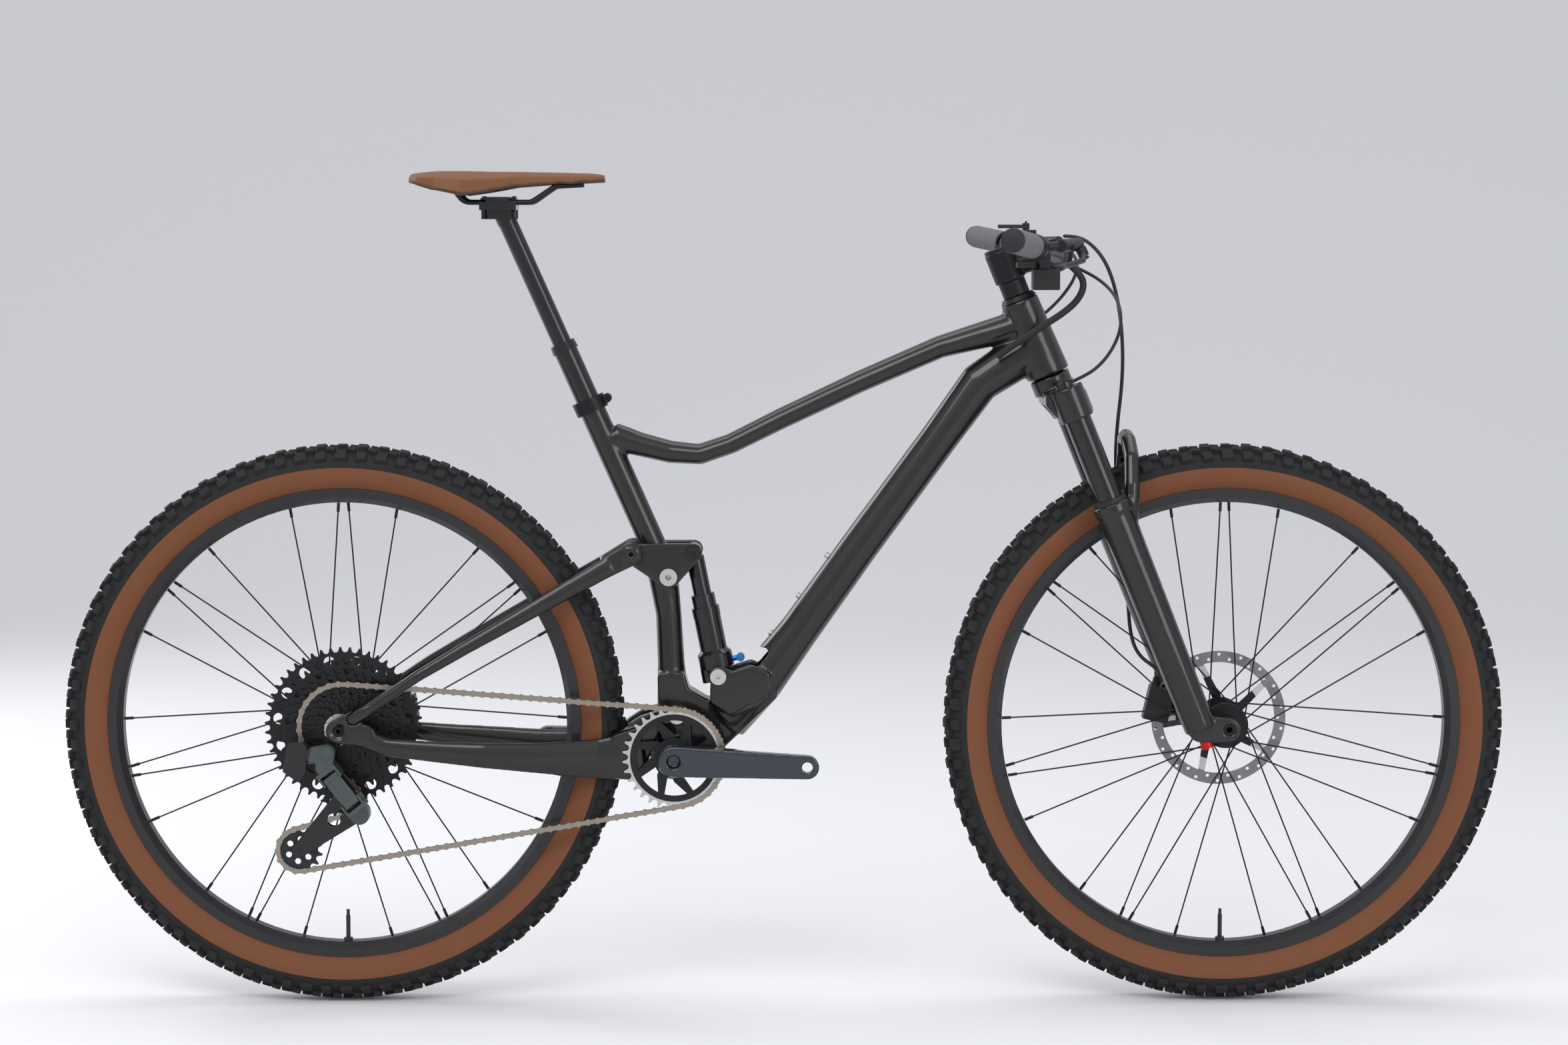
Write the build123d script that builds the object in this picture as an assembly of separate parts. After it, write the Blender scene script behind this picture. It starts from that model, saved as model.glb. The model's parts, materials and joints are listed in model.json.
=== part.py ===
from build123d import *
from math import acos, asin, atan2, ceil, cos, degrees, hypot, pi, radians, sin, sqrt, tan
import os

# Full-suspension mountain bike with 29 inch wheels, in millimetres.
# +X points forward, +Z up, and the drive side is -Y. The origin is on the ground,
# midway between the two axles. A point in the bike's side view is written (x, z).

# ---- wheels and axles ----
wheelbase = 1164.6
tyre_radius = 371.0
tyre_width = 61.0
tyre_wall = 3.5
rim_outer_radius = 313.0
rim_inner_radius = 294.0
rim_bed_radius = 302.0
rim_width = 36.0
rim_flange = 3.0
spoke_count = 28
spoke_radius = 1.0
front_hub_width = 110.0
rear_hub_width = 148.0
axle_radius = 7.5
rear_axle_radius = 6.0
rotor_radius = 90.0
rear_rotor_radius = 80.0
rotor_thickness = 1.8
front_rotor_y = 38.5
rear_rotor_y = 57.0

# ---- frame ----
bb = (-145.0, 331.0)
bb_shell_radius = 23.0
bb_shell_width = 92.0
head_angle = 68.0
fork_offset = 44.0
head_tube_bottom = 516.0
head_tube_top = 622.0
head_radius_bottom = 29.0
head_radius_top = 25.0
seat_tube_radius = 17.4
seat_tube_top = (-258.5, 799.0)
seat_tube_tilt = 24.0
seat_tube_straight = 215.0
tube_wall = 2.0
main_pivot = (-141.5, 386.0)
rocker_pivot = (-152.5, 568.0)
shock_lower = (-87.2, 436.3)
shock_upper = (-119.9, 600.1)
stay_pivot = (-201.1, 598.7)
flex_pivot = (-563.0, 387.5)

# ---- transmission ----
chain_pitch = 12.7
roller_radius = 3.85
ring_teeth = 32
cog_teeth = (10, 12, 14, 16, 18, 21, 24, 28, 32, 36, 42, 50)
chain_cog = 7
smallest_cog_y = -66.0
cog_spacing = 3.7
cog_thickness = 1.9
ring_y = -52.0
crank_length = 175.0
crank_angle = -2.5
arm_thickness = 16.0
pedal_thread_radius = 7.14
spindle_radius = 14.5
upper_pulley_teeth = 12
lower_pulley_teeth = 14
upper_pulley = (-585.0, 277.0)
pulley_spacing = 90.0
cage_angle_start = 232.0
hanger_bolt = (-596.0, 345.0)
cage_pivot = (-557.0, 259.0)

# ---- fork ----
leg_y = 66.0
leg_forward = 10.0
stanchion_radius = 17.5
fork_travel = 105.0
crown_bottom = 453.0
crown_top = 497.0
lowers_top = 335.0
leg_radius_top = 24.0
leg_radius_bottom = 21.0

# ---- seat post and saddle ----
stanchion_post_radius = 12.5
dropper_radius = 15.6
dropper_exposed = 83.0
dropper_inside = 190.0
dropper_travel = 150.0
post_exposed = 186.0
saddle_length = 254.0
saddle_width = 140.0
saddle_rear_x = -489.0
saddle_top_z = 1101.0
rail_radius = 3.5
rail_spacing = 44.0

# ---- cockpit ----
bar_centre = (355.0, 990.0)
bar_half_width = 370.0
grip_length = 130.0
bar_sweep = 14.2
bar_upsweep = 3.5
bar_radius = 11.1
bar_clamp_radius = 15.9
grip_radius = 15.5

# ---- clearances ----
running = 0.05
gap = 0.4

ground = 0.0
rear_axle = (-wheelbase / 2, tyre_radius)
front_axle = (wheelbase / 2, tyre_radius)

os.makedirs("parts", exist_ok=True)


# ---------------------------------------------------------------- helpers

def save(name, *shapes):
    """Write every solid of the given shapes as one node."""
    solids = [solid for shape in shapes for solid in shape.solids()]
    export_step(Compound(children=solids), f"parts/{name}.step")


def at(point, y):
    """A point of the side view at the given y."""
    return (point[0], y, point[1])


def rod(start, end, radius):
    """A round bar between two points."""
    start, end = Vector(*start), Vector(*end)
    return Solid.make_cylinder(radius, (end - start).length, Plane(origin=start, z_dir=end - start))


def cone(start, end, radius_start, radius_end):
    start, end = Vector(*start), Vector(*end)
    plane = Plane(origin=start, z_dir=end - start)
    return Solid.make_cone(radius_start, radius_end, (end - start).length, plane)


def cross_rod(point, y_low, y_high, radius):
    """A round bar along Y at a point of the side view."""
    return rod(at(point, y_low), at(point, y_high), radius)


def ring(point, y_low, y_high, outer, inner):
    """A round bush along Y."""
    return cross_rod(point, y_low, y_high, outer) - cross_rod(point, y_low - 1, y_high + 1, inner)


def box(low, high):
    """A block between two corners."""
    size = [high[i] - low[i] for i in range(3)]
    return Solid.make_box(*size, Plane(origin=low))


def side_plane(y):
    return Plane(origin=(0, y, 0), x_dir=(1, 0, 0), z_dir=(0, -1, 0))


def plate(sketch, y_low, y_high):
    """A flat shape drawn in the side view, filled from one y to another."""
    return extrude(side_plane(y_high) * sketch, amount=y_high - y_low)


def outline(*points, corner=0.0):
    """A closed outline of the side view, with every corner rounded by the same radius."""
    if corner:
        wire = FilletPolyline(*points, radius=corner, close=True)
    else:
        wire = Polyline(*points, close=True)
    return make_face(wire)


def dot(point, radius):
    """A disc of the side view."""
    return Pos(point[0], point[1]) * Circle(radius)


def web(point_a, radius_a, point_b, radius_b):
    """The shape that a belt would take round two discs."""
    dx, dz = point_b[0] - point_a[0], point_b[1] - point_a[1]
    heading, span = atan2(dz, dx), hypot(dx, dz)
    tilt = acos((radius_a - radius_b) / span)
    corners = []
    for side in (tilt, -tilt):
        turn = heading + side
        corners.append((point_a[0] + radius_a * cos(turn), point_a[1] + radius_a * sin(turn)))
        corners.append((point_b[0] + radius_b * cos(turn), point_b[1] + radius_b * sin(turn)))
    strip = make_face(Polyline(corners[0], corners[1], corners[3], corners[2], close=True))
    return strip + dot(point_a, radius_a) + dot(point_b, radius_b)


def loft_tube(stations, wall=0.0):
    """A smooth tube through oval sections: (x, y, z, half height, half width)."""
    sections = []
    last = len(stations) - 1
    for i, (x, y, z, half_height, half_width) in enumerate(stations):
        before, after = stations[max(i - 1, 0)], stations[min(i + 1, last)]
        heading = Vector(*[after[k] - before[k] for k in range(3)]).normalized()
        up = Vector(-heading.Z, 0, heading.X).normalized()
        plane = Plane(origin=(x, y, z), x_dir=up, z_dir=heading)
        sections.append(plane * Ellipse(half_height - wall, half_width - wall))
    return loft(sections, ruled=True)


def mirrored(shape):
    """The same shape on the other side of the bike."""
    return shape.mirror(Plane.XZ)


def both_sides(shape):
    return [shape, mirrored(shape)]


def lathe(points, centre, y):
    """A turned piece about an axis along Y: each point is (radius, y from the given y)."""
    face = make_face(Polyline(*[(r, v) for r, v in points], close=True))
    plane = Plane(origin=(centre[0], y, centre[1]), x_dir=(1, 0, 0), z_dir=(0, 0, 1))
    return revolve(plane * face, Axis((centre[0], y, centre[1]), (0, 1, 0)), 360)


def capsule_run(points, radius):
    """A bent bar of one thickness, with round corners and ends."""
    pieces = [rod(a, b, radius) for a, b in zip(points, points[1:])]
    balls = [Solid.make_sphere(radius, Plane(origin=p)) for p in points[1:-1]]
    return pieces[0].fuse(*pieces[1:], *balls)


def pitch_radius(teeth):
    return chain_pitch / (2 * sin(pi / teeth))


# ---------------------------------------------------------------- steering axis

axis_up = Vector(-cos(radians(head_angle)), 0, sin(radians(head_angle)))
axis_forward = Vector(sin(radians(head_angle)), 0, cos(radians(head_angle)))
axis_foot = Vector(front_axle[0], 0, front_axle[1]) - axis_forward * fork_offset


def steer(s, forward=0.0, y=0.0):
    """A point s up the steering axis, some way in front of it and to one side."""
    point = axis_foot + axis_up * s + axis_forward * forward
    return (point.X, y, point.Z)


def steer_outline(*points):
    """A face in the bike's middle plane, from points (forward, s) on the steering axis."""
    return make_face(Polyline(*[steer(s, forward) for forward, s in points], close=True))


def across(face, y_low, y_high):
    """Fill a face of the middle plane from one y to another."""
    moved = face.moved(Location((0, y_low, 0)))
    return extrude(moved, amount=y_high - y_low, dir=(0, 1, 0))


# ---------------------------------------------------------------- frame

seat_down = Vector(sin(radians(seat_tube_tilt)), 0, -cos(radians(seat_tube_tilt)))
seat_top = Vector(seat_tube_top[0], 0, seat_tube_top[1])


def seat(distance):
    """A point down the seat tube's axis from its top; above it when negative."""
    point = seat_top + seat_down * distance
    return (point.X, 0, point.Z)


down_tube = [
    (*steer(head_tube_bottom + 42), 30, 23),
    (257, 0, 822, 27, 23),
    (205, 0, 750, 25, 24),
    (99, 0, 605, 25.5, 25),
    (20, 0, 494, 26.5, 27),
    (-32, 0, 425, 31, 30),
    (-80, 0, 378, 35, 32),
]
top_tube = [
    (*steer(head_tube_top - 32), 21, 21),
    (205, 0, 869.5, 15, 18),
    (99, 0, 823.5, 14.5, 17),
    (-6, 0, 774, 14, 16),
    (-70, 0, 742, 13.5, 16),
    (-111, 0, 728, 14, 16),
    (-150, 0, 731, 15, 16),
    (-190, 0, 741, 16, 16),
    (-226, 0, 752, 19, 16),
]
kink = seat(seat_tube_straight)
seat_tube_lower = [
    (kink[0], 0, kink[2], 20, 17),
    (-160, 0, 566, 20, 18),
    (-153, 0, 515, 17, 19),
    (-150, 0, 450, 18, 21),
    (-147, 0, 395, 22, 22.5),
]

ear_inner_y = 23.5
ear_outer_y = 34.0
block_half_width = 22.8


def bottom_block():
    """The thick lower corner of the frame, with two ears for the shock."""
    body = plate(outline(
        (-168, 440), (-132, 440), (-126, 418), (-112, 411), (-98, 416), (-52, 446),
        (-6, 410), (-50, 368), (-92, 328), (-135, 310), (-166, 322), corner=5),
        -block_half_width, block_half_width)
    ear_shape = web(shock_lower, 13.5, (-66, 425), 16) + outline(
        (-98, 425), (-66, 445), (-44, 452), (-18, 440), (-20, 410), (-70, 385), (-98, 400), corner=5)
    ears = plate(ear_shape, -ear_outer_y, ear_outer_y)
    shell = cross_rod(bb, -bb_shell_width / 2, bb_shell_width / 2, bb_shell_radius)
    return body.fuse(ears, shell)


def main_frame():
    head = cone(steer(head_tube_bottom), steer(head_tube_top), head_radius_bottom, head_radius_top)
    upper_seat = rod(seat(0), kink, seat_tube_radius)
    solid = head.fuse(loft_tube(down_tube), loft_tube(top_tube), upper_seat,
                      loft_tube(seat_tube_lower), bottom_block(),
                      cross_rod(rocker_pivot, -19.5, 19.5, 15),
                      cross_rod(main_pivot, -block_half_width, block_half_width, 15))
    hollow = [
        loft_tube(down_tube[1:-1], tube_wall),
        loft_tube(top_tube[1:-1], tube_wall),
        rod(seat(-1), seat(dropper_inside + 8), dropper_radius + running),
        cross_rod(bb, -60, 60, bb_shell_radius - 2.5),
        cross_rod(main_pivot, -40, 40, 7.5 + running),
        cross_rod(rocker_pivot, -40, 40, 7.5 + running),
        cross_rod(shock_lower, -60, 60, 5 + running),
        rod(steer(head_tube_bottom - 5), steer(head_tube_top + 5), 20.6),
        rod(steer(head_tube_bottom - 5), steer(head_tube_bottom + 12), 26.0),
        rod(steer(head_tube_top - 12), steer(head_tube_top + 5), 21.0),
    ]
    pocket = plate(outline((-124, 432), (-117, 413), (-100, 403), (-62, 410), (-40, 425), (-20, 470), (-124, 480),
                           corner=4), -ear_inner_y, ear_inner_y)
    slot = plate(outline((-131, 470), (-127, 424), (-115, 413), (-104, 422), (-101, 470), corner=4), -50, 50)
    seat_slot = box((seat(0)[0], -1.2, seat(38)[2]), (seat(0)[0] + 60, 1.2, seat(-5)[2]))
    solid = solid.cut(*hollow, pocket, slot, seat_slot)
    for point in bottle_bosses:
        solid = solid.cut(rod(point, Vector(*point) - boss_normal * 30, 2.5))
    return solid


# three threaded bosses along the top of the down tube
dt_heading = Vector(205 - 20, 0, 750 - 494).normalized()
boss_normal = Vector(-dt_heading.Z, 0, dt_heading.X)
bottle_bosses = []
for x, z in ((79, 577.5), (41.5, 524), (5.4, 474)):
    bottle_bosses.append(tuple(Vector(x, 0, z) + boss_normal * 26.5))


def frame_fittings(frame_body):
    """Bottle bolts and the oval cable port on the right of the head tube."""
    pieces = []
    for point in bottle_bosses:
        foot = Vector(*point)
        bolt = rod(foot - boss_normal * 12, foot + boss_normal * 0.5, 2.4)
        pieces.append(bolt.fuse(rod(foot - boss_normal, foot + boss_normal * 4, 4.2)).cut(frame_body))
    return pieces


def headset():
    lower = rod(steer(head_tube_bottom + 0.5), steer(head_tube_bottom + 12), 26.0 - 0.02)
    lower = lower - rod(steer(head_tube_bottom - 1), steer(head_tube_bottom + 13), 20.0 + running)
    upper = rod(steer(head_tube_top - 12), steer(head_tube_top - 0.5), 21.0 - 0.02)
    upper = upper - rod(steer(head_tube_top - 13), steer(head_tube_top + 1), 14.3 + running)
    cap = cone(steer(head_tube_top), steer(head_tube_top + 6), 24.5, 21)
    cap = cap - rod(steer(head_tube_top - 1), steer(head_tube_top + 7), 14.3 + running)
    return [lower, upper, cap]


def bottom_bracket():
    pieces = []
    for side in (-1, 1):
        inner, outer = side * 30, side * bb_shell_width / 2
        cup = cross_rod(bb, min(inner, outer), max(inner, outer), bb_shell_radius - 2.5 - 0.02)
        flange = cross_rod(bb, min(outer, outer + side * 2.5), max(outer, outer + side * 2.5), 22)
        bore = cross_rod(bb, -60, 60, spindle_radius + running)
        pieces.append(cup.fuse(flange).cut(bore))
    return pieces


def seat_clamp():
    """A split ring round the top of the seat tube, with its bolt at the front."""
    band = rod(seat(16), seat(-2), seat_tube_radius + 4.5)
    band = band - rod(seat(17), seat(0), seat_tube_radius + 0.02)
    band = band - rod(seat(1), seat(-3), dropper_radius + 0.3)
    front = Vector(cos(radians(seat_tube_tilt)), 0, sin(radians(seat_tube_tilt)))
    middle = Vector(*seat(7)) + front * (seat_tube_radius + 7)
    lug = rod(middle + Vector(0, -10, 0), middle + Vector(0, 10, 0), 6)
    lug = lug - rod(seat(17), seat(0), seat_tube_radius + 0.02)
    split = box((seat(0)[0], -1.5, seat(30)[2]), (seat(0)[0] + 80, 1.5, seat(-20)[2]))
    hole = rod(middle + Vector(0, -30, 0), middle + Vector(0, 30, 0), 2.55)
    clamp = band.fuse(lug).cut(split, hole)
    bolt = rod(middle + Vector(0, -10, 0), middle + Vector(0, 10, 0), 2.5)
    head = rod(middle + Vector(0, -14, 0), middle + Vector(0, -10, 0), 4.5)
    socket = rod(middle + Vector(0, -15, 0), middle + Vector(0, -11.5, 0), 2.2)
    return [clamp, bolt.fuse(head).cut(socket)]


def pivot_bolts():
    """Hollow axles of the main and rocker pivots, and the bolt of the shock's lower eye."""
    pieces = []
    for point, half_length in ((main_pivot, 40.0), (rocker_pivot, 32.0)):
        axle = cross_rod(point, -half_length, half_length, 7.5)
        caps = [cross_rod(point, -half_length - 3, -half_length, 11.5),
                cross_rod(point, half_length, half_length + 3, 11.5)]
        bore = cross_rod(point, -half_length - 5, half_length + 5, 4)
        pieces.append(axle.fuse(*caps).cut(bore))
    pieces.append(cross_rod(shock_lower, -ear_outer_y - 2, ear_outer_y + 2, 5)
                  .fuse(cross_rod(shock_lower, -ear_outer_y - 4, -ear_outer_y, 10.5),
                        cross_rod(shock_lower, ear_outer_y, ear_outer_y + 4, 10.5))
                  .cut(cross_rod(shock_lower, -ear_outer_y - 5, -ear_outer_y + 2, 3)))
    return pieces


# ---------------------------------------------------------------- dropper post and saddle

post_top = -(dropper_exposed + post_exposed)
post_forward = Vector(cos(radians(seat_tube_tilt)), 0, sin(radians(seat_tube_tilt)))


def dropper_outer():
    tube = rod(seat(dropper_inside), seat(-dropper_exposed + 12), dropper_radius)
    collar = cone(seat(-dropper_exposed + 12), seat(-dropper_exposed), dropper_radius + 2.2, dropper_radius + 1)
    tube = tube.fuse(collar)
    tube = tube.cut(rod(seat(dropper_inside - 3), seat(-dropper_exposed + 22), dropper_radius - 2.2))
    return tube.cut(rod(seat(dropper_inside - 10), seat(-dropper_exposed - 1), stanchion_post_radius + running))


rail_z = saddle_top_z - 42.0
clamp_centre = Vector(*seat(post_top)) + Vector(-6, 0, 0)


def dropper_stanchion():
    """The sliding inner tube with the saddle clamp on its head."""
    tube = rod(seat(-dropper_exposed + 70), seat(post_top + 14), stanchion_post_radius)
    tube = tube.cut(rod(seat(-dropper_exposed + 71), seat(post_top + 20), stanchion_post_radius - 2))
    head = rod(seat(post_top + 14), seat(post_top + 2), stanchion_post_radius + 1)
    cx, cz = clamp_centre.X, rail_z
    cradle = box((cx - 24, -27, cz - 10), (cx + 24, 27, cz))
    cradle = cradle.fuse(box((cx - 15, -14, cz - 22), (cx + 17, 14, cz - 9)))
    top_plates = [box((cx - 15, y - 7, cz + 0.1), (cx + 15, y + 7, cz + 7)) for y in (-22, 22)]
    grooves = [rod((cx - 60, y, cz), (cx + 60, y, cz), rail_radius) for y in rail_ys]
    bolts = []
    for x in (cx - 19, cx + 20):
        bolts.append(rod((x, 0, cz - 18), (x, 0, cz + 8), 3).fuse(rod((x, 0, cz - 22), (x, 0, cz - 10), 5)))
    bar = [box((x - 4, -16, cz + 0.5), (x + 4, 16, cz + 6)) for x in (cx - 19, cx + 20)]
    lower = head.fuse(cradle).cut(*grooves, *[b for b in bolts])
    plates = top_plates[0].fuse(*top_plates[1:], *bar).cut(*grooves, *bolts)
    return [tube, lower, plates, *bolts]


rail_ys = (-rail_spacing / 2, rail_spacing / 2)


def saddle_rails():
    """Two bent rods, straight where they are clamped."""
    cx = clamp_centre.X
    rails = []
    for y in rail_ys:
        rear_y = y * 1.7
        points = [(saddle_rear_x + 50, rear_y, saddle_top_z - 14), (cx - 44, y, rail_z),
                  (cx + 44, y, rail_z), (saddle_rear_x + 190, y * 0.6, saddle_top_z - 21),
                  (saddle_rear_x + 226, y * 0.3, saddle_top_z - 19)]
        path = FilletPolyline(*points, radius=14)
        section = Plane(origin=path @ 0, z_dir=path % 0) * Circle(rail_radius)
        rails.append(sweep(section, path=path))
    return rails


saddle_sections = [
    # share of the length from the rear, half width share, crown drop, skirt depth
    (0.0, 0.52, 5, 10), (0.05, 0.78, 3, 17), (0.15, 0.98, 1, 26), (0.28, 0.98, 1, 33),
    (0.42, 0.66, 2, 27), (0.55, 0.38, 2, 21), (0.75, 0.27, 3, 16), (0.93, 0.23, 4, 13), (1.0, 0.12, 6, 10),
]


def saddle_skin(top_drop, side_inset, depth_share):
    """The saddle's outer form, lowered and narrowed by the given amounts."""
    sections = []
    for share, width, crown, skirt in saddle_sections:
        x = saddle_rear_x + share * saddle_length
        half = max(saddle_width / 2 * width - side_inset, 4)
        top = saddle_top_z - crown - top_drop
        low = saddle_top_z - crown - skirt * depth_share
        points = [(0, top), (half * 0.55, top - 1.5), (half * 0.92, top - (top - low) * 0.35), (half, low),
                  (half * 0.8, low - 0.5), (0, low + (top - low) * 0.25)]
        right = [(y, z) for y, z in points[1:-1]]
        left = [(-y, z) for y, z in reversed(right)]
        loop = [points[0], *right, points[-1], *left]
        face = make_face(Polyline(*loop, close=True))
        sections.append(Plane(origin=(x, 0, 0), x_dir=(0, 1, 0), z_dir=(1, 0, 0)) * face)
    return loft(sections, ruled=True)


def saddle():
    whole = saddle_skin(0, 0, 1.0)
    cover = whole.cut(saddle_skin(7.0, 1.6, 1.3))
    shell = saddle_skin(7.5, 2.2, 0.98).cut(saddle_skin(11.0, 6.0, 1.4), cover, *saddle_rails())
    return cover, shell


# ---------------------------------------------------------------- rear suspension

stay_stations = [
    (-556, -81, 364, 13, 5),
    (-521, -81, 350, 12, 6),
    (-457, -79, 343.5, 14, 6.5),
    (-394, -74, 338, 17, 7.5),
    (-331, -63, 333, 20, 8),
    (-285, -53, 330.5, 23.5, 7.5),
    (-245, -44, 329, 27, 6.5),
    (-212, -41.5, 331, 31, 6.5),
]
dropout_inner_y = rear_hub_width / 2
dropout_outer_y = dropout_inner_y + 12
yoke_inner_y = 24.0
yoke_outer_y = 48.0


def swingarm():
    """Both chainstays, the yoke round the frame's lower corner and the dropouts, in one piece."""
    stay = loft_tube(stay_stations)
    dropout = plate(web(rear_axle, 16.5, (-548, 366), 14) + web(rear_axle, 16, (flex_pivot[0] + 1, flex_pivot[1]), 11),
                    -dropout_outer_y, -dropout_inner_y - 3)
    socket = cross_rod(flex_pivot, -dropout_outer_y - 1, -dropout_inner_y, 7.5 + gap)
    swing_room = plate(web(flex_pivot, 7.5 + gap, (flex_pivot[0] + 26, flex_pivot[1] + 15.6), 10.5),
                       -dropout_outer_y - 1, -dropout_inner_y)
    dropout = dropout.cut(socket, swing_room)
    arm = plate(outline((-226, 303), (-196, 300), (-181, 320), (-173, 345), (-163, 368), (-150, 376),
                        (-146, 398), (-190, 384), (-226, 360), corner=3) + dot(main_pivot, 14.5),
                -yoke_outer_y + 6, -yoke_inner_y)
    flank = plate(outline((-226, 303), (-196, 300), (-184, 320), (-190, 372), (-226, 360), corner=3),
                  -yoke_outer_y, -yoke_inner_y)
    sides = []
    for part in (stay, dropout, arm, flank):
        sides += both_sides(part)
    bridge = box((-206, -yoke_inner_y - 3, 322), (-183, yoke_inner_y + 3, 366))
    solid = sides[0].fuse(*sides[1:], bridge)
    tyre_room = cross_rod(rear_axle, -34, 34, tyre_radius + 2.5)
    shell_room = cross_rod(bb, -60, 60, bb_shell_radius + 3)
    bore = cross_rod(main_pivot, -60, 60, 7.5 + running)
    axle_bore = cross_rod(rear_axle, -100, 100, rear_axle_radius + running)
    recess = cross_rod(rear_axle, -dropout_outer_y - 1, -dropout_outer_y + 3, 11)
    cap_room = [cross_rod(main_pivot, -60, -39.9, 12), cross_rod(main_pivot, 39.9, 60, 12)]
    return solid.cut(tyre_room, shell_room, bore, axle_bore, recess, *cap_room)


def rear_axle_bolt():
    pin = cross_rod(rear_axle, -dropout_outer_y + 3.2, dropout_outer_y, rear_axle_radius)
    head = cross_rod(rear_axle, dropout_outer_y, dropout_outer_y + 4, 10)
    bore = cross_rod(rear_axle, -dropout_outer_y - 1, dropout_outer_y + 5, 3)
    return pin.fuse(head).cut(bore)


def derailleur_hanger():
    blade = plate(web(rear_axle, 12, hanger_bolt, 8.5), -dropout_inner_y - 2.9, -dropout_inner_y)
    boss = cross_rod(hanger_bolt, -dropout_inner_y - 9, -dropout_inner_y, 8.5)
    holes = [cross_rod(rear_axle, -100, 0, rear_axle_radius + running), cross_rod(hanger_bolt, -100, 0, 5)]
    return blade.fuse(boss).cut(*holes)


seatstay_stations = [
    (-551, -80, 394.5, 7.5, 6),
    (-478, -76.5, 443.5, 7.6, 6.5),
    (-415, -69, 480, 8.8, 6.5),
    (-352, -59, 515, 10.5, 6.5),
    (-290, -48, 550, 12, 6),
    (-228, -38, 584, 13.5, 5),
]
stay_end_inner_y = 31.0
stay_end_outer_y = 41.0
rocker_inner_y = 20.0
rocker_outer_y = 29.5


def seatstays():
    """One stay each side, with a round foot at the dropout and a flat eye at the rocker."""
    pieces = []
    stay = loft_tube(seatstay_stations)
    foot = plate(web(flex_pivot, 7.5, (-549, 396), 7.3), -dropout_outer_y + 0.5, -dropout_inner_y - 3.5)
    eye = plate(web(stay_pivot, 15, (-232, 582), 13), -stay_end_outer_y, -stay_end_inner_y)
    solid = stay.fuse(foot, eye).cut(cross_rod(stay_pivot, -60, 0, 6))
    screw = cross_rod(stay_pivot, -stay_end_outer_y, -stay_end_inner_y, 6)
    head = cross_rod(stay_pivot, -stay_end_outer_y - 3, -stay_end_outer_y, 10.5)
    socket = cross_rod(stay_pivot, -stay_end_outer_y - 4, -stay_end_outer_y + 4, 3)
    for piece in (solid, screw.fuse(head).cut(socket)):
        pieces += both_sides(piece)
    return pieces


shock_bolt_radius = 3.5
shock_bolt_play = 4.4


def rocker():
    """Two link plates on the rocker axle, with room round the shock's bolt for its bushing to give."""
    shape = (web(stay_pivot, 13, shock_upper, 12) + web(stay_pivot, 13, rocker_pivot, 15)
             + web(rocker_pivot, 15, shock_upper, 12))
    link = plate(shape, -rocker_outer_y, -rocker_inner_y)
    link = link.cut(cross_rod(rocker_pivot, -60, 0, 7.5 + running),
                    cross_rod(shock_upper, -60, 0, shock_bolt_radius + shock_bolt_play))
    return both_sides(link)


shock_line = (Vector(*at(shock_lower, 0)) - Vector(*at(shock_upper, 0))).normalized()
shock_length = (Vector(*at(shock_lower, 0)) - Vector(*at(shock_upper, 0))).length


def shock(distance):
    """A point down the shock from its upper eye."""
    point = Vector(*at(shock_upper, 0)) + shock_line * distance
    return (point.X, 0, point.Z)


def shock_shaft():
    """The upper eye with its bolt, and the rod that slides into the air can."""
    eye = cross_rod(shock_upper, -rocker_inner_y + gap, rocker_inner_y - gap, 10.5)
    stem_rod = rod(shock(8), shock(74), 12)
    bolt = cross_rod(shock_upper, -rocker_outer_y - gap, rocker_outer_y + gap, shock_bolt_radius)
    heads = [cross_rod(shock_upper, -rocker_outer_y - 3, -rocker_outer_y - gap, 9.5),
             cross_rod(shock_upper, rocker_outer_y + gap, rocker_outer_y + 3, 9.5)]
    bolt = bolt.fuse(*heads).cut(cross_rod(shock_upper, -rocker_outer_y - 4, -rocker_outer_y, 2.5))
    return [eye.fuse(stem_rod).cut(cross_rod(shock_upper, -40, 40, shock_bolt_radius + 0.02)), bolt]


def shock_body():
    """The air can, the wide lower body with its eye, and the blue lever."""
    can = rod(shock(59), shock(77), 15.8).fuse(
        rod(shock(76), shock(89), 18.5), rod(shock(88), shock(140), 18.0),
        cone(shock(134), shock(139), 18, 23), rod(shock(139), shock(158), 23))
    back = Vector(-shock_line.Z, 0, shock_line.X) * -1
    lobe = rod(Vector(*shock(146)) + back * 14, Vector(*shock(176)) + back * 14, 9)
    eye = cross_rod(shock_lower, -ear_inner_y + gap, ear_inner_y - gap, 11)
    bore = rod(shock(58), shock(128), 12 + 0.1)
    body = can.fuse(lobe, eye).cut(bore, cross_rod(shock_lower, -60, 60, 5 + running))
    front = Vector(shock_line.Z, 0, -shock_line.X) * -1
    post = rod(Vector(*shock(151)) + front * 22.9, Vector(*shock(151)) + front * 30, 3.5)
    post = post.cut(rod(shock(139), shock(158), 23))
    knob = cross_rod((0, 0), -6, 6, 5.5).moved(Location(Vector(*shock(151)) + front * 33))
    lever = [knob.fuse(post)]
    return body, lever


# ---------------------------------------------------------------- wheels

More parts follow.
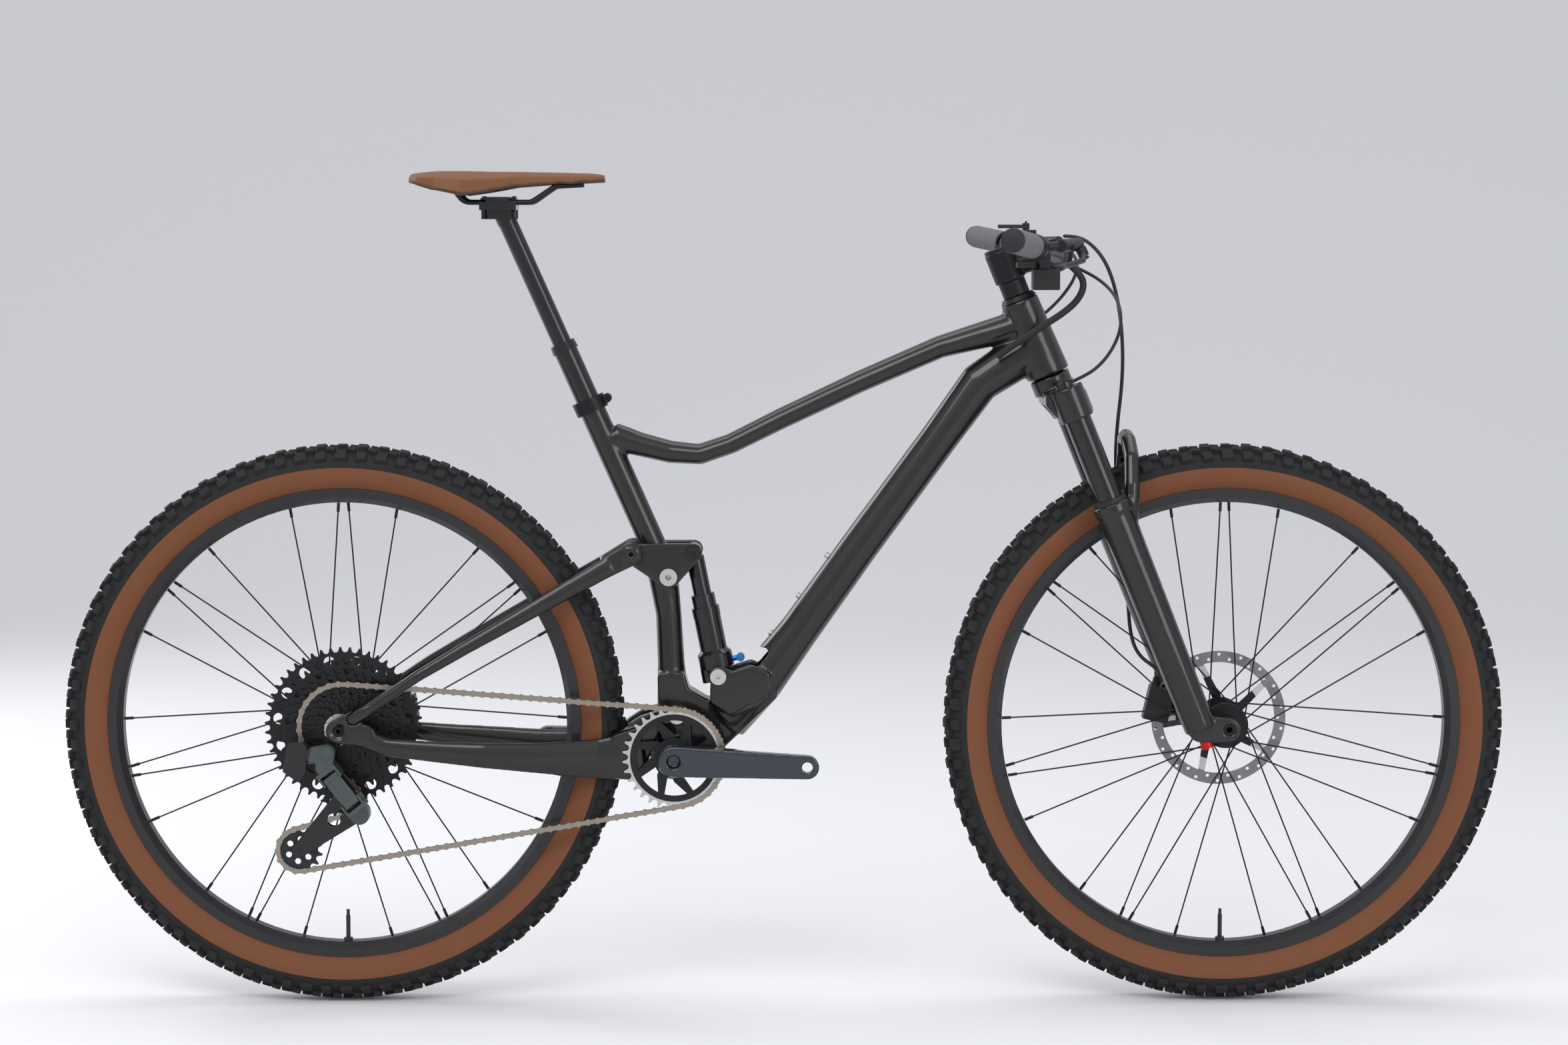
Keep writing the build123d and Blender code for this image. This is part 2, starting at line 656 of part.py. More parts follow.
def tyre(centre):
    """A hollow casing with its two beads."""
    middle = (tyre_radius + rim_outer_radius - 4) / 2
    half_height = tyre_radius - middle
    outer = Ellipse(half_height, tyre_width / 2)
    inner = Ellipse(half_height - tyre_wall - 2, tyre_width / 2 - tyre_wall)
    plane = Plane(origin=(centre[0] + middle, 0, centre[1]), x_dir=(1, 0, 0), z_dir=(0, 0, 1))
    axis = Axis((centre[0], 0, centre[1]), (0, 1, 0))
    casing = revolve(plane * (outer - inner), axis, 360)
    seat_y = rim_width / 2 - rim_flange
    bead = lathe([(rim_bed_radius, seat_y - 6), (rim_bed_radius, seat_y), (rim_outer_radius + 3, seat_y),
                  (rim_outer_radius + 3, seat_y - 6)], centre, 0)
    return casing.fuse(*both_sides(bead))


def rim(centre, spoke_ends):
    half = rim_width / 2
    seat_y = half - rim_flange
    outer = lathe([(rim_inner_radius, -9), (rim_inner_radius, 9), (rim_inner_radius + 7, half),
                   (rim_outer_radius, half), (rim_outer_radius, seat_y), (rim_bed_radius, seat_y),
                   (rim_bed_radius, -seat_y), (rim_outer_radius, -seat_y), (rim_outer_radius, -half),
                   (rim_inner_radius + 7, -half)], centre, 0)
    hollow = lathe([(rim_inner_radius + 2, -8), (rim_inner_radius + 2, 8), (rim_bed_radius - 2, seat_y - 1),
                    (rim_bed_radius - 2, -seat_y + 1)], centre, 0)
    body = outer.cut(hollow)
    valve_foot = (centre[0], 0, centre[1] - rim_inner_radius)
    return body, valve_foot


def valve(foot):
    """A slim valve standing inwards from the rim, with its nut and cap."""
    x, y, z = foot
    stem_rod = rod((x, y, z), (x, y, z + 34), 2.9)
    return stem_rod.fuse(rod((x, y, z), (x, y, z + 4), 6), rod((x, y, z + 34), (x, y, z + 42), 2.2))


def spoke_set(centre, flange_left, flange_right, flange_radius):
    """Crossed spokes, each with its nipple at the rim; the heads sit inside and outside in turn."""
    spokes = []
    per_side = spoke_count // 2
    for side, flange_y in ((1, flange_left), (-1, -flange_right)):
        for i in range(per_side):
            lean = 1 if i % 2 else -1
            hub_angle = 2 * pi * (i + (0.25 if side > 0 else -0.25)) / per_side
            rim_angle = hub_angle + lean * 2 * pi * 2.25 / per_side * 0.98
            hub_y = flange_y + lean * 2.9
            start = (centre[0] + flange_radius * cos(hub_angle), hub_y, centre[1] + flange_radius * sin(hub_angle))
            radius_end = rim_inner_radius - 0.8
            end = (centre[0] + radius_end * cos(rim_angle), side * 3.5, centre[1] + radius_end * sin(rim_angle))
            run = (Vector(*end) - Vector(*start)).normalized()
            tip = Vector(*end)
            body = rod(start, tip, spoke_radius).fuse(rod(tip - run * 12, tip, 2.0))
            spokes.append(body)
    return spokes


def hub(centre, half_width, flange_left, flange_right, flange_radius, bore, left_end, right_end):
    """A hub shell with two flanges and its end caps."""
    shell = ring(centre, -right_end, left_end, 14, bore)
    for y in (flange_left, -flange_right):
        shell = shell.fuse(ring(centre, y - 1.4, y + 1.4, flange_radius + 3, bore))
    return shell


def rotor(centre, y, radius, spider_radius=44):
    """A slotted brake disc on a five-armed carrier."""
    track = ring(centre, y - rotor_thickness / 2, y + rotor_thickness / 2, radius, radius - 15)
    slots = []
    count = 36
    for i in range(count):
        angle = 2 * pi * i / count
        middle_r = radius - 7.5 + (3 if i % 2 else -3)
        point = (centre[0] + middle_r * cos(angle), centre[1] + middle_r * sin(angle))
        slots.append(cross_rod(point, y - 3, y + 3, 2.2))
    disc = track.cut(*slots)
    arms = []
    for i in range(5):
        angle = 2 * pi * i / 5 + 0.3
        sweep_angle = angle + 0.35
        inner = (centre[0] + 22 * cos(angle), centre[1] + 22 * sin(angle))
        outer = (centre[0] + (radius - 12) * cos(sweep_angle), centre[1] + (radius - 12) * sin(sweep_angle))
        arms.append(plate(web(inner, 6, outer, 4), y - rotor_thickness / 2, y + rotor_thickness / 2))
    centre_ring = ring(centre, y - 3, y + 3, 25, 17.5)
    return disc.fuse(centre_ring, *arms)


# ---------------------------------------------------------------- transmission

def sprocket_face(teeth, tip_height, phase):
    """A toothed outline: a round seat for each roller, and a flat tip between two of them."""
    radius = pitch_radius(teeth)
    seat = roller_radius + 0.15
    step = 2 * pi / teeth
    tip_radius = radius + tip_height
    tip_half = 1.1 / tip_radius
    tip_along = tip_radius * sin(step / 2 - tip_half)
    tip_out = tip_radius * cos(step / 2 - tip_half) - radius
    # each flank is tangent to the roller's seat, so the arc ends where the flank touches it
    spread = atan2(tip_along, tip_out) + acos(seat / hypot(tip_along, tip_out))
    edges = []
    points = []
    for i in range(teeth):
        angle = phase + i * step
        mid = Vector(radius * cos(angle), radius * sin(angle))
        outward = Vector(cos(angle), sin(angle))
        along = Vector(-sin(angle), cos(angle))
        left = mid - along * seat * sin(spread) + outward * seat * cos(spread)
        right = mid + along * seat * sin(spread) + outward * seat * cos(spread)
        bottom = mid - outward * seat
        points.append((left, bottom, right, angle))
    for i, (left, bottom, right, angle) in enumerate(points):
        following = points[(i + 1) % teeth]
        middle = angle + step / 2
        tip_a = Vector(tip_radius * cos(middle - tip_half), tip_radius * sin(middle - tip_half))
        tip_b = Vector(tip_radius * cos(middle + tip_half), tip_radius * sin(middle + tip_half))
        edges.append(ThreePointArc(left, bottom, right))
        edges.append(Line(right, tip_a))
        edges.append(Line(tip_a, tip_b))
        edges.append(Line(tip_b, following[0]))
    return make_face(Wire(edges))


def sprocket(centre, teeth, y, thickness, tip_height, phase, bore):
    face = Pos(centre[0], centre[1]) * sprocket_face(teeth, tip_height, phase)
    body = plate(face, y - thickness / 2, y + thickness / 2)
    return body.cut(cross_rod(centre, y - 10, y + 10, bore))


def cog_y(index):
    return smallest_cog_y + cog_spacing * index


cog_radius = pitch_radius(cog_teeth[chain_cog])
ring_radius = pitch_radius(ring_teeth)
upper_radius = pitch_radius(upper_pulley_teeth)
lower_radius = pitch_radius(lower_pulley_teeth)
chain_line_y = cog_y(chain_cog)


def lower_pulley_at(cage_angle):
    turn = radians(cage_angle)
    return (upper_pulley[0] + pulley_spacing * cos(turn), upper_pulley[1] + pulley_spacing * sin(turn))


def chain_circles(cage_angle):
    """The circles that the chain goes round, in its order, and which way it turns on each."""
    return [
        (bb, ring_radius, 1, ring_y),
        (rear_axle, cog_radius, 1, chain_line_y),
        (upper_pulley, upper_radius, -1, chain_line_y),
        (lower_pulley_at(cage_angle), lower_radius, 1, chain_line_y),
    ]


def tangent(circle_a, circle_b):
    """Where a chain leaves one circle and meets the next: two points of the side view."""
    (ax, az), ra, turn_a, _ = circle_a
    (bx, bz), rb, turn_b, _ = circle_b
    dx, dz = bx - ax, bz - az
    span = hypot(dx, dz)
    heading = atan2(dz, dx)
    lean = asin((turn_a * ra - turn_b * rb) / span)
    run = heading + lean
    normal = (sin(run), -cos(run))
    start = (ax + turn_a * ra * normal[0], az + turn_a * ra * normal[1])
    end = (bx + turn_b * rb * normal[0], bz + turn_b * rb * normal[1])
    return start, end


def chain_path(cage_angle):
    """The chain's loop as arcs and straight runs, from the top of the chainring's wrap."""
    circles = chain_circles(cage_angle)
    count = len(circles)
    lines = [tangent(circles[i], circles[(i + 1) % count]) for i in range(count)]
    path = []
    for i in range(count):
        centre, radius, turn, y = circles[i]
        arrive, leave = lines[i - 1][1], lines[i][0]
        start = atan2(arrive[1] - centre[1], arrive[0] - centre[0])
        end = atan2(leave[1] - centre[1], leave[0] - centre[0])
        sweep_angle = (end - start) * turn % (2 * pi)
        path.append(("arc", centre, radius, start, turn, sweep_angle, y, y))
        next_y = circles[(i + 1) % count][3]
        path.append(("line", leave, lines[i][1], y, next_y))
    return path


def piece_length(piece):
    if piece[0] == "arc":
        return piece[2] * piece[5]
    return hypot(piece[2][0] - piece[1][0], piece[2][1] - piece[1][1])


def path_point(path, lengths, distance):
    distance %= sum(lengths)
    for piece, length in zip(path, lengths):
        if distance <= length:
            break
        distance -= length
    if piece[0] == "arc":
        _, centre, radius, start, turn, _, y, _ = piece
        angle = start + turn * distance / radius
        return Vector(centre[0] + radius * cos(angle), y, centre[1] + radius * sin(angle))
    _, start, end, y0, y1 = piece
    share = distance / length
    # the first and last two links of a run stay in line with the teeth they leave and meet
    sideways = min(1, max(0, (distance - 2 * chain_pitch) / max(length - 4 * chain_pitch, 1)))
    return Vector(start[0] + (end[0] - start[0]) * share, y0 + (y1 - y0) * sideways,
                  start[1] + (end[1] - start[1]) * share)


def walk_chain(cage_angle, count=0):
    """Pins spaced one pitch apart round the loop; without a count, as many as it takes to close."""
    path = chain_path(cage_angle)
    lengths = [piece_length(piece) for piece in path]
    total = sum(lengths)
    distance = 0.0
    pins = [path_point(path, lengths, 0.0)]
    while (len(pins) <= count) if count else (distance < total):
        low, high = distance + chain_pitch * 0.9, distance + chain_pitch * 1.3
        for _ in range(40):
            middle = (low + high) / 2
            if (path_point(path, lengths, middle) - pins[-1]).length < chain_pitch:
                low = middle
            else:
                high = middle
        distance = low
        pins.append(path_point(path, lengths, distance))
    return pins, distance - total


def close_chain():
    """Turn the cage until an even number of links closes the loop exactly."""
    pins, _ = walk_chain(cage_angle_start)
    count = 2 * round((len(pins) - 1) / 2)
    low, high = cage_angle_start - 14, cage_angle_start + 14
    slack_low = walk_chain(low, count)[1]
    for _ in range(40):
        middle = (low + high) / 2
        slack = walk_chain(middle, count)[1]
        if (slack > 0) == (slack_low > 0):
            low = middle
        else:
            high = middle
    return middle, walk_chain(middle, count)[0][:-1]


cage_angle, chain_pins = close_chain()
lower_pulley = lower_pulley_at(cage_angle)
chain_links = len(chain_pins)


def phase_on(centre, radius):
    """The angle of a chain pin that lies on a sprocket."""
    best = None
    for pin in chain_pins:
        offset = abs(hypot(pin.X - centre[0], pin.Z - centre[1]) - radius)
        if best is None or offset < best[0]:
            best = (offset, atan2(pin.Z - centre[1], pin.X - centre[0]))
    return best[1]


inner_half = 1.15
plate_thickness = 0.75
plate_gap = 0.05


def link_plate(z_low, z_high):
    waist = make_face(Polyline((0, -2.9), (chain_pitch, -2.9), (chain_pitch, 2.9), (0, 2.9), close=True))
    ends = Circle(4.1) + Pos(chain_pitch, 0) * Circle(4.1)
    return extrude(Pos(0, 0, z_low) * (waist + ends), amount=z_high - z_low)


def inner_link():
    plates = [link_plate(inner_half, inner_half + plate_thickness),
              link_plate(-inner_half - plate_thickness, -inner_half)]
    rollers = [Pos(x, 0, -inner_half) * Solid.make_cylinder(roller_radius, 2 * inner_half) for x in (0, chain_pitch)]
    bores = [Pos(x, 0, -5) * Solid.make_cylinder(1.9, 10) for x in (0, chain_pitch)]
    return plates[0].fuse(plates[1], *rollers).cut(*bores)


def outer_link():
    near = inner_half + plate_thickness + plate_gap
    plates = [link_plate(near, near + plate_thickness), link_plate(-near - plate_thickness, -near)]
    pins = [Pos(x, 0, -near - plate_thickness) * Solid.make_cylinder(1.8, 2 * (near + plate_thickness))
            for x in (0, chain_pitch)]
    return plates[0].fuse(plates[1], *pins)


def chain():
    shapes = (inner_link(), outer_link())
    links = []
    for i, pin in enumerate(chain_pins):
        following = chain_pins[(i + 1) % chain_links]
        run = (following - pin).normalized()
        across_run = Vector(0, -1, 0)
        across_run = (across_run - run * across_run.dot(run)).normalized()
        place = Location(Plane(origin=pin, x_dir=run, z_dir=across_run))
        links.append(shapes[i % 2].moved(place))
    return links


def chainring():
    phase = phase_on(bb, ring_radius)
    body = sprocket(bb, ring_teeth, ring_y, 2.0, 3.4, phase, 56)
    spider = ring(bb, ring_y - 1, ring_y + 1, 58, 50)
    arms = []
    for i in range(8):
        angle = 2 * pi * i / 8 + 0.2
        outer = (bb[0] + 52 * cos(angle + 0.25), bb[1] + 52 * sin(angle + 0.25))
        inner = (bb[0] + 28 * cos(angle), bb[1] + 28 * sin(angle))
        arms.append(plate(web(inner, 7, outer, 4), ring_y - 1.5, ring_y + 1))
    hub_ring = ring(bb, ring_y - 6, ring_y + 1.5, 27, spindle_radius + 5)
    return [body.fuse(spider, hub_ring, *arms).cut(cross_rod(bb, -80, 0, spindle_radius + 5))]


def crank_arms():
    """Two arms on one spindle; the right one points forward."""
    turn = radians(crank_angle)
    right_end = (bb[0] + crank_length * cos(turn), bb[1] + crank_length * sin(turn))
    left_end = (bb[0] - crank_length * cos(turn), bb[1] - crank_length * sin(turn))
    pieces = []
    spindle = cross_rod(bb, -60, 60, spindle_radius).cut(cross_rod(bb, -61, 61, spindle_radius - 3))
    pieces.append(spindle)
    for end, side in ((right_end, -1), (left_end, 1)):
        blade = plate(web(bb, 20, end, 15.5), 72, 72 + arm_thickness)
        root = cross_rod(bb, 58.5, 80, 22)
        taper = plate(web(bb, 20, (bb[0] + (end[0] - bb[0]) * 0.45, bb[1] + (end[1] - bb[1]) * 0.45), 18), 64, 74)
        arm = blade.fuse(root, taper)
        arm = arm.cut(cross_rod(end, 60, 100, pedal_thread_radius), cross_rod(bb, 50, 60.02, spindle_radius + 0.02),
                      cross_rod(bb, 76, 100, 9))
        pieces.append(mirrored(arm) if side < 0 else arm)
    star = cross_rod(bb, -58.4, -51.0 - 0.5, 19.4).cut(cross_rod(bb, -70, 0, spindle_radius + 0.02))
    pieces.append(star)
    return pieces


def cassette():
    """Twelve cogs with cut-outs, on the freehub body."""
    cogs = []
    for i, teeth in enumerate(cog_teeth):
        y = cog_y(i)
        radius = pitch_radius(teeth)
        phase = phase_on(rear_axle, cog_radius) if i == chain_cog else 0.3 * i
        cog = sprocket(rear_axle, teeth, y, cog_thickness, 3.0, phase, 14.0)
        root = radius - 8
        if root > 30:
            windows = max(6, int(root / 6))
            hole = min(pi * (root - 6) / windows * 0.62, 7.5)
            for k in range(windows):
                angle = 2 * pi * k / windows + 0.2 * i
                spot = (rear_axle[0] + (root - hole) * cos(angle), rear_axle[1] + (root - hole) * sin(angle))
                cog = cog.cut(cross_rod(spot, y - 2, y + 2, hole))
        cogs.append(cog)
    carrier = ring(rear_axle, cog_y(0) - 2.0, -21.6, 15.2, rear_axle_radius + 3)
    steps = []
    for i, teeth in enumerate(cog_teeth[1:], start=1):
        outer = max(pitch_radius(cog_teeth[i - 1]) - 6.5, 15.2)
        inner = max(outer - 3.2, 13.5)
        if outer > 16:
            steps.append(ring(rear_axle, cog_y(i - 1), cog_y(i), outer, inner))
    return [cogs[0].fuse(*cogs[1:], carrier, *steps)]


def pulley(centre, teeth):
    phase = phase_on(centre, pitch_radius(teeth))
    body = sprocket(centre, teeth, chain_line_y, 1.9, 2.6, phase, 4.0 + running)
    holes = []
    for i in range(6):
        angle = 2 * pi * i / 6 + 0.4
        mid = (pitch_radius(teeth) + 1) * 0.5
        spot = (centre[0] + mid * cos(angle), centre[1] + mid * sin(angle))
        holes.append(cross_rod(spot, -60, 0, mid * 0.27))
    return body.cut(*holes)


cage_outer_y = chain_line_y - 5.0
cage_inner_y = chain_line_y + 5.0


def derailleur_cage():
    """Two open plates that hold the pulleys, the knuckle they turn in and the rear guard."""
    pieces = []
    shape = (web(upper_pulley, 9, cage_pivot, 10) + web(cage_pivot, 10, lower_pulley, 9)
             + web(upper_pulley, 9, lower_pulley, 9))
    middle = ((upper_pulley[0] + cage_pivot[0] + lower_pulley[0]) / 3,
              (upper_pulley[1] + cage_pivot[1] + lower_pulley[1]) / 3)
    shape = shape - dot(middle, 9)
    plates = [plate(shape, cage_outer_y - 2, cage_outer_y), plate(shape, cage_inner_y, cage_inner_y + 2)]
    axles = [cross_rod(p, cage_outer_y - 3.5, cage_inner_y + 3.5, 4.0) for p in (upper_pulley, lower_pulley)]
    barrel = cross_rod(cage_pivot, cage_outer_y - 6, cage_outer_y - 1, 11)
    return [plates[0].fuse(plates[1], barrel, *axles)]


knuckle_near_y = -dropout_inner_y - 9.3
link_length = 42.0
link_half = 11.0
link_outer_y = -91.0
link_inner_y = -72.0
link_top = Vector(-591.0, 0, 311.0)
link_run = Vector(0.62, 0, -0.785).normalized()
link_axis = Vector(-link_run.Z, 0, link_run.X)


def link_point(along, across_pins=0.0, y=0.0):
    """A point of the parallelogram: along its links, along its pins and at a given y."""
    return link_top + link_run * along + link_axis * across_pins + Vector(0, y, 0)


def link_block(along, across_pins, y_range):
    """A block of the parallelogram between pairs of limits."""
    plane = Plane(origin=link_point(along[0], across_pins[0], y_range[0]), x_dir=link_run, z_dir=(0, 1, 0))
    low_side = Solid.make_box(along[1] - along[0], across_pins[1] - across_pins[0], y_range[1] - y_range[0], plane)
    if plane.y_dir.dot(link_axis) < 0:
        low_side = low_side.moved(Location(link_axis * (across_pins[1] - across_pins[0])))
    return low_side


def clevis(end, outward):
    """Two lugs with the pins of both links between them, closed by a block on the far side."""
    lugs = []
    y_range = (link_outer_y - 6, link_inner_y + 6)
    for low, high in ((-link_half - 3.4, -link_half - gap), (link_half + gap, link_half + 3.4)):
        along = (end - 5, end + 12) if outward > 0 else (end - 12, end + 5)
        lugs.append(link_block(along, (low, high), y_range))
    along = (end + 8, end + 14) if outward > 0 else (end - 14, end - 8)
    lugs.append(link_block(along, (-link_half - 3.4, link_half + 3.4), y_range))
    for y in (link_outer_y, link_inner_y):
        lugs.append(rod(link_point(end, -link_half - 3.4, y), link_point(end, link_half + 3.4, y), 2.0))
    return lugs[0].fuse(*lugs[1:])


def derailleur_knuckle():
    """The upper body that bolts to the hanger, and its bolt."""
    body = plate(web(hanger_bolt, 10, (-600, 326), 11) + web(hanger_bolt, 10, (-614, 342), 10),
                 knuckle_near_y - 13, knuckle_near_y)
    swing_room = link_block((-7.6, 30), (-link_half - 30, link_half + 30), (-130, -40))
    body = body.cut(swing_room).fuse(clevis(0, -1)).cut(cross_rod(hanger_bolt, -200, 0, 4.9))
    bolt = cross_rod(hanger_bolt, knuckle_near_y - 14, -dropout_inner_y - 1, 4.9)
    head = cross_rod(hanger_bolt, knuckle_near_y - 16, knuckle_near_y - 13, 8)
    return [body, bolt.fuse(head)]


def battery(knuckle_body):
    """The radio's battery, clipped to the rear of the upper body."""
    block = plate(outline((-654, 320), (-648, 355), (-628, 357), (-622, 352), (-624, 320), (-634, 306),
                          corner=4), knuckle_near_y - 12, knuckle_near_y + 8)
    clip = plate(outline((-632, 330), (-632, 348), (-612, 348), (-612, 330)), knuckle_near_y - 9, knuckle_near_y - 1)
    return block.fuse(clip).cut(knuckle_body)


def derailleur_link(y):
    """One arm of the parallelogram, with a bush at each end."""
    bushes = [rod(link_point(end, -link_half, y), link_point(end, link_half, y), 5.0) for end in (0, link_length)]
    arm = link_block((0, link_length), (-link_half, link_half), (y - 3, y + 3))
    bores = [rod(link_point(end, -link_half - 5, y), link_point(end, link_half + 5, y), 2.0 + running)
             for end in (0, link_length)]
    return arm.fuse(*bushes).cut(*bores)


def p_knuckle():
    """The lower body that carries the cage."""
    foot = clevis(link_length, 1)
    barrel = plate(dot(cage_pivot, 13), link_inner_y - 2, cage_outer_y - 6.4)
    bridge = plate(web((link_point(link_length + 11).X, link_point(link_length + 11).Z), 6, cage_pivot, 11),
                   link_inner_y - 2, link_inner_y + 6)
    swing_room = link_block((-30, link_length + 7.8), (-40, 40), (-130, cage_outer_y - 7))
    return foot.fuse(barrel.cut(swing_room), bridge.cut(swing_room))


# ---------------------------------------------------------------- fork

def leg(s, side, forward=0.0):
    return steer(s, leg_forward + forward, side * leg_y)


tyre_top_at_bottom_out = tyre_radius + fork_travel + 5


def fork_crown():
    """Steerer and crown in one forging, bored for the stanchions."""
    upper = rod(steer(540), steer(684), 14.3)
    taper = cone(steer(512), steer(540), 20.0, 14.3)
    foot = rod(steer(crown_top - 8), steer(512), 20.0)
    seat_ring = rod(steer(crown_top - 4), steer(head_tube_bottom - 1.5), 27)
    arch = across(steer_outline((-17, crown_top), (24, crown_top), (34, crown_top - 12), (34, crown_bottom + 4),
                                (-12, crown_bottom + 4), (-22, crown_top - 14)), -leg_y, leg_y)
    underside = across(steer_outline((-40, crown_bottom - 5), (60, crown_bottom - 5), (60, tyre_top_at_bottom_out),
                                     (-40, tyre_top_at_bottom_out)), -leg_y + 26, leg_y - 26)
    sockets = [rod(leg(crown_bottom, side), leg(crown_top, side), stanchion_radius + 5) for side in (-1, 1)]
    holes = [rod(leg(crown_bottom - 1, side), leg(crown_top - 3, side), stanchion_radius + 0.02) for side in (-1, 1)]
    bore = rod(steer(crown_bottom - 1), steer(690), 11)
    return arch.cut(underside).fuse(upper, taper, foot, seat_ring, *sockets).cut(*holes, bore)


def stanchions():
    tubes = []
    for side in (-1, 1):
        tube = rod(leg(190, side), leg(crown_top - 3.2, side), stanchion_radius)
        tubes.append(tube.cut(rod(leg(189, side), leg(crown_top - 12, side), stanchion_radius - 2)))
    for side in (-1, 1):
        tubes.append(rod(leg(crown_top + 0.05, side), leg(crown_top + 7, side), 12))
    return tubes


arch_route = [(300, 24, leg_y), (345, 44, 62), (378, 58, 48), (398, 64, 24), (402, 65, 0)]


def fork_lowers():
    """Both lower legs, the arch over the tyre, the axle's dropouts and the caliper's posts."""
    solids = []
    bores = []
    for side in (-1, 1):
        solids.append(cone(leg(14, side), leg(lowers_top, side), leg_radius_bottom, leg_radius_top))
        solids.append(rod(leg(lowers_top - 14, side), leg(lowers_top, side), leg_radius_top + 1.5))
        foot = Vector(*leg(14, side))
        hub_end = Vector(front_axle[0], side * leg_y, front_axle[1])
        half = 10.5
        drop = plate(web((foot.X, foot.Z), 17, (hub_end.X, hub_end.Z), 15), side * (leg_y - 0.5) - half,
                     side * (leg_y - 0.5) + half)
        solids.append(drop)
        bores.append(rod(leg(62, side), leg(lowers_top + 1, side), stanchion_radius + running))
    route = [steer(s, forward, y) for s, forward, y in arch_route]
    route += [(p[0], -p[1], p[2]) for p in reversed(route[:-1])]
    solids.append(capsule_run(route, 10))
    post = plate(outline((leg(40, 1)[0] - 38, 352), (leg(40, 1)[0] - 38, 432), (leg(90, 1)[0], 436),
                         (leg(20, 1)[0], 360)), front_rotor_y + 14, front_rotor_y + 24)
    solids.append(post)
    wheel_room = cross_rod(front_axle, -front_hub_width / 2, front_hub_width / 2, 30)
    rotor_room = cross_rod(front_axle, front_rotor_y - 6, front_rotor_y + 4, rotor_radius + 3)
    body = solids[0].fuse(*solids[1:])
    return body.cut(*bores, wheel_room, rotor_room, cross_rod(front_axle, -90, 90, axle_radius + 0.02))


def fork_fittings(lowers):
    """Wiper seals, the rebound knob, the foot bolt and the hose guide on the arch."""
    pieces = []
    for side in (-1, 1):
        seal = rod(leg(lowers_top + 0.02, side), leg(lowers_top + 6, side), stanchion_radius + 5)
        pieces.append(seal.cut(rod(leg(lowers_top - 1, side), leg(lowers_top + 7, side), stanchion_radius + running),
                               lowers))
        pieces.append(rod(leg(6, side), leg(-13, side), 8).cut(lowers))
    return pieces


def front_axle_pin():
    pin = cross_rod(front_axle, -leg_y - 8, leg_y + 10, axle_radius)
    head = cross_rod(front_axle, leg_y + 10.1, leg_y + 14, 11)
    return pin.fuse(head).cut(cross_rod(front_axle, -leg_y - 9, leg_y + 15, 4))


def caliper(centre, angle, rotor_y, radius, mount_y, side_length, carrier):
    """A two-piece brake caliper with the rotor's slot and two pads, beside its mount."""
    turn = radians(angle)
    reach = radius - 10
    spot = (centre[0] + reach * cos(turn), centre[1] + reach * sin(turn))
    plane = Plane(origin=(spot[0], rotor_y, spot[1]), x_dir=(cos(turn), 0, sin(turn)), z_dir=(0, -1, 0))
    body = Pos(0, 0, -12) * Solid.make_box(34, side_length, 24, Plane(origin=(-14, -side_length / 2, 0)))
    body = body.moved(plane.location)
    ear_depth = mount_y - rotor_y
    ear = Solid.make_box(14, side_length + 6, ear_depth - 8, Plane(origin=(2, -side_length / 2 - 10, -ear_depth)))
    ear = ear.moved(plane.location)
    slot = cross_rod(centre, rotor_y - 1.7, rotor_y + 1.7, radius + 1.5)
    hollow = cross_rod(centre, rotor_y - 4.2, rotor_y + 4.2, radius + 0.8)
    throat = cross_rod(centre, rotor_y - 4.2, rotor_y + 4.2, radius - 20)
    body = body.fuse(ear).cut(slot, hollow, throat, carrier)
    pads = []
    for low, high in ((rotor_y - 4.1, rotor_y - 1.4), (rotor_y + 1.4, rotor_y + 4.1)):
        pad = plate(Pos(spot[0], spot[1]) * Rot(0, 0, angle) * Rectangle(12, 26), low, high)
        pads.append(pad)
    return [body, *pads]


# ---------------------------------------------------------------- cockpit

bar_bend = (bar_centre[0] - 10, 90.0, bar_centre[1] + 4.8)
bar_end = (bar_bend[0] - (bar_half_width - 90) * tan(radians(bar_sweep)), bar_half_width,
           bar_bend[2] + (bar_half_width - 90) * tan(radians(bar_upsweep)))


def bar_point(y, forward=0.0, up=0.0):
    """A point beside the straight outer part of the handlebar; negative y is the right side."""
    share = (abs(y) - bar_bend[1]) / (bar_end[1] - bar_bend[1])
    return (bar_bend[0] + (bar_end[0] - bar_bend[0]) * share + forward, y,
            bar_bend[2] + (bar_end[2] - bar_bend[2]) * share + up)


def handlebar():
    right = [(bar_centre[0], 0, bar_centre[1]), (bar_centre[0], 42, bar_centre[1]), bar_bend, bar_end]
    route = [(p[0], -p[1], p[2]) for p in reversed(right)] + right[1:]
    sides = capsule_run(route[:], bar_radius)
    middle = cross_rod(bar_centre, -34, 34, bar_clamp_radius)
    tapers = [cone((bar_centre[0], s * 34, bar_centre[1]), (bar_centre[0], s * 46, bar_centre[1]),
                   bar_clamp_radius, bar_radius) for s in (-1, 1)]
    bore = [rod(bar_point(s * (bar_half_width + 1)), bar_point(s * 110), bar_radius - 2.2) for s in (-1, 1)]
    return sides.fuse(middle, *tapers).cut(*bore)


def grips():
    """Sleeves with a lock collar and an end cap on each side."""
    pieces = []
    inner_y = bar_half_width - grip_length
    for side in (-1, 1):
        bore = rod(bar_point(side * (inner_y - 9)), bar_point(side * bar_half_width), bar_radius + 0.02)
        sleeve = rod(bar_point(side * inner_y), bar_point(side * bar_half_width), grip_radius)
        collar = rod(bar_point(side * (inner_y - 8)), bar_point(side * (inner_y - 0.05)), grip_radius + 0.8)
        cap = rod(bar_point(side * (bar_half_width + 0.05)), bar_point(side * (bar_half_width + 4)), grip_radius - 0.5)
        pieces += [sleeve.cut(bore), collar.cut(bore), cap]
    return pieces


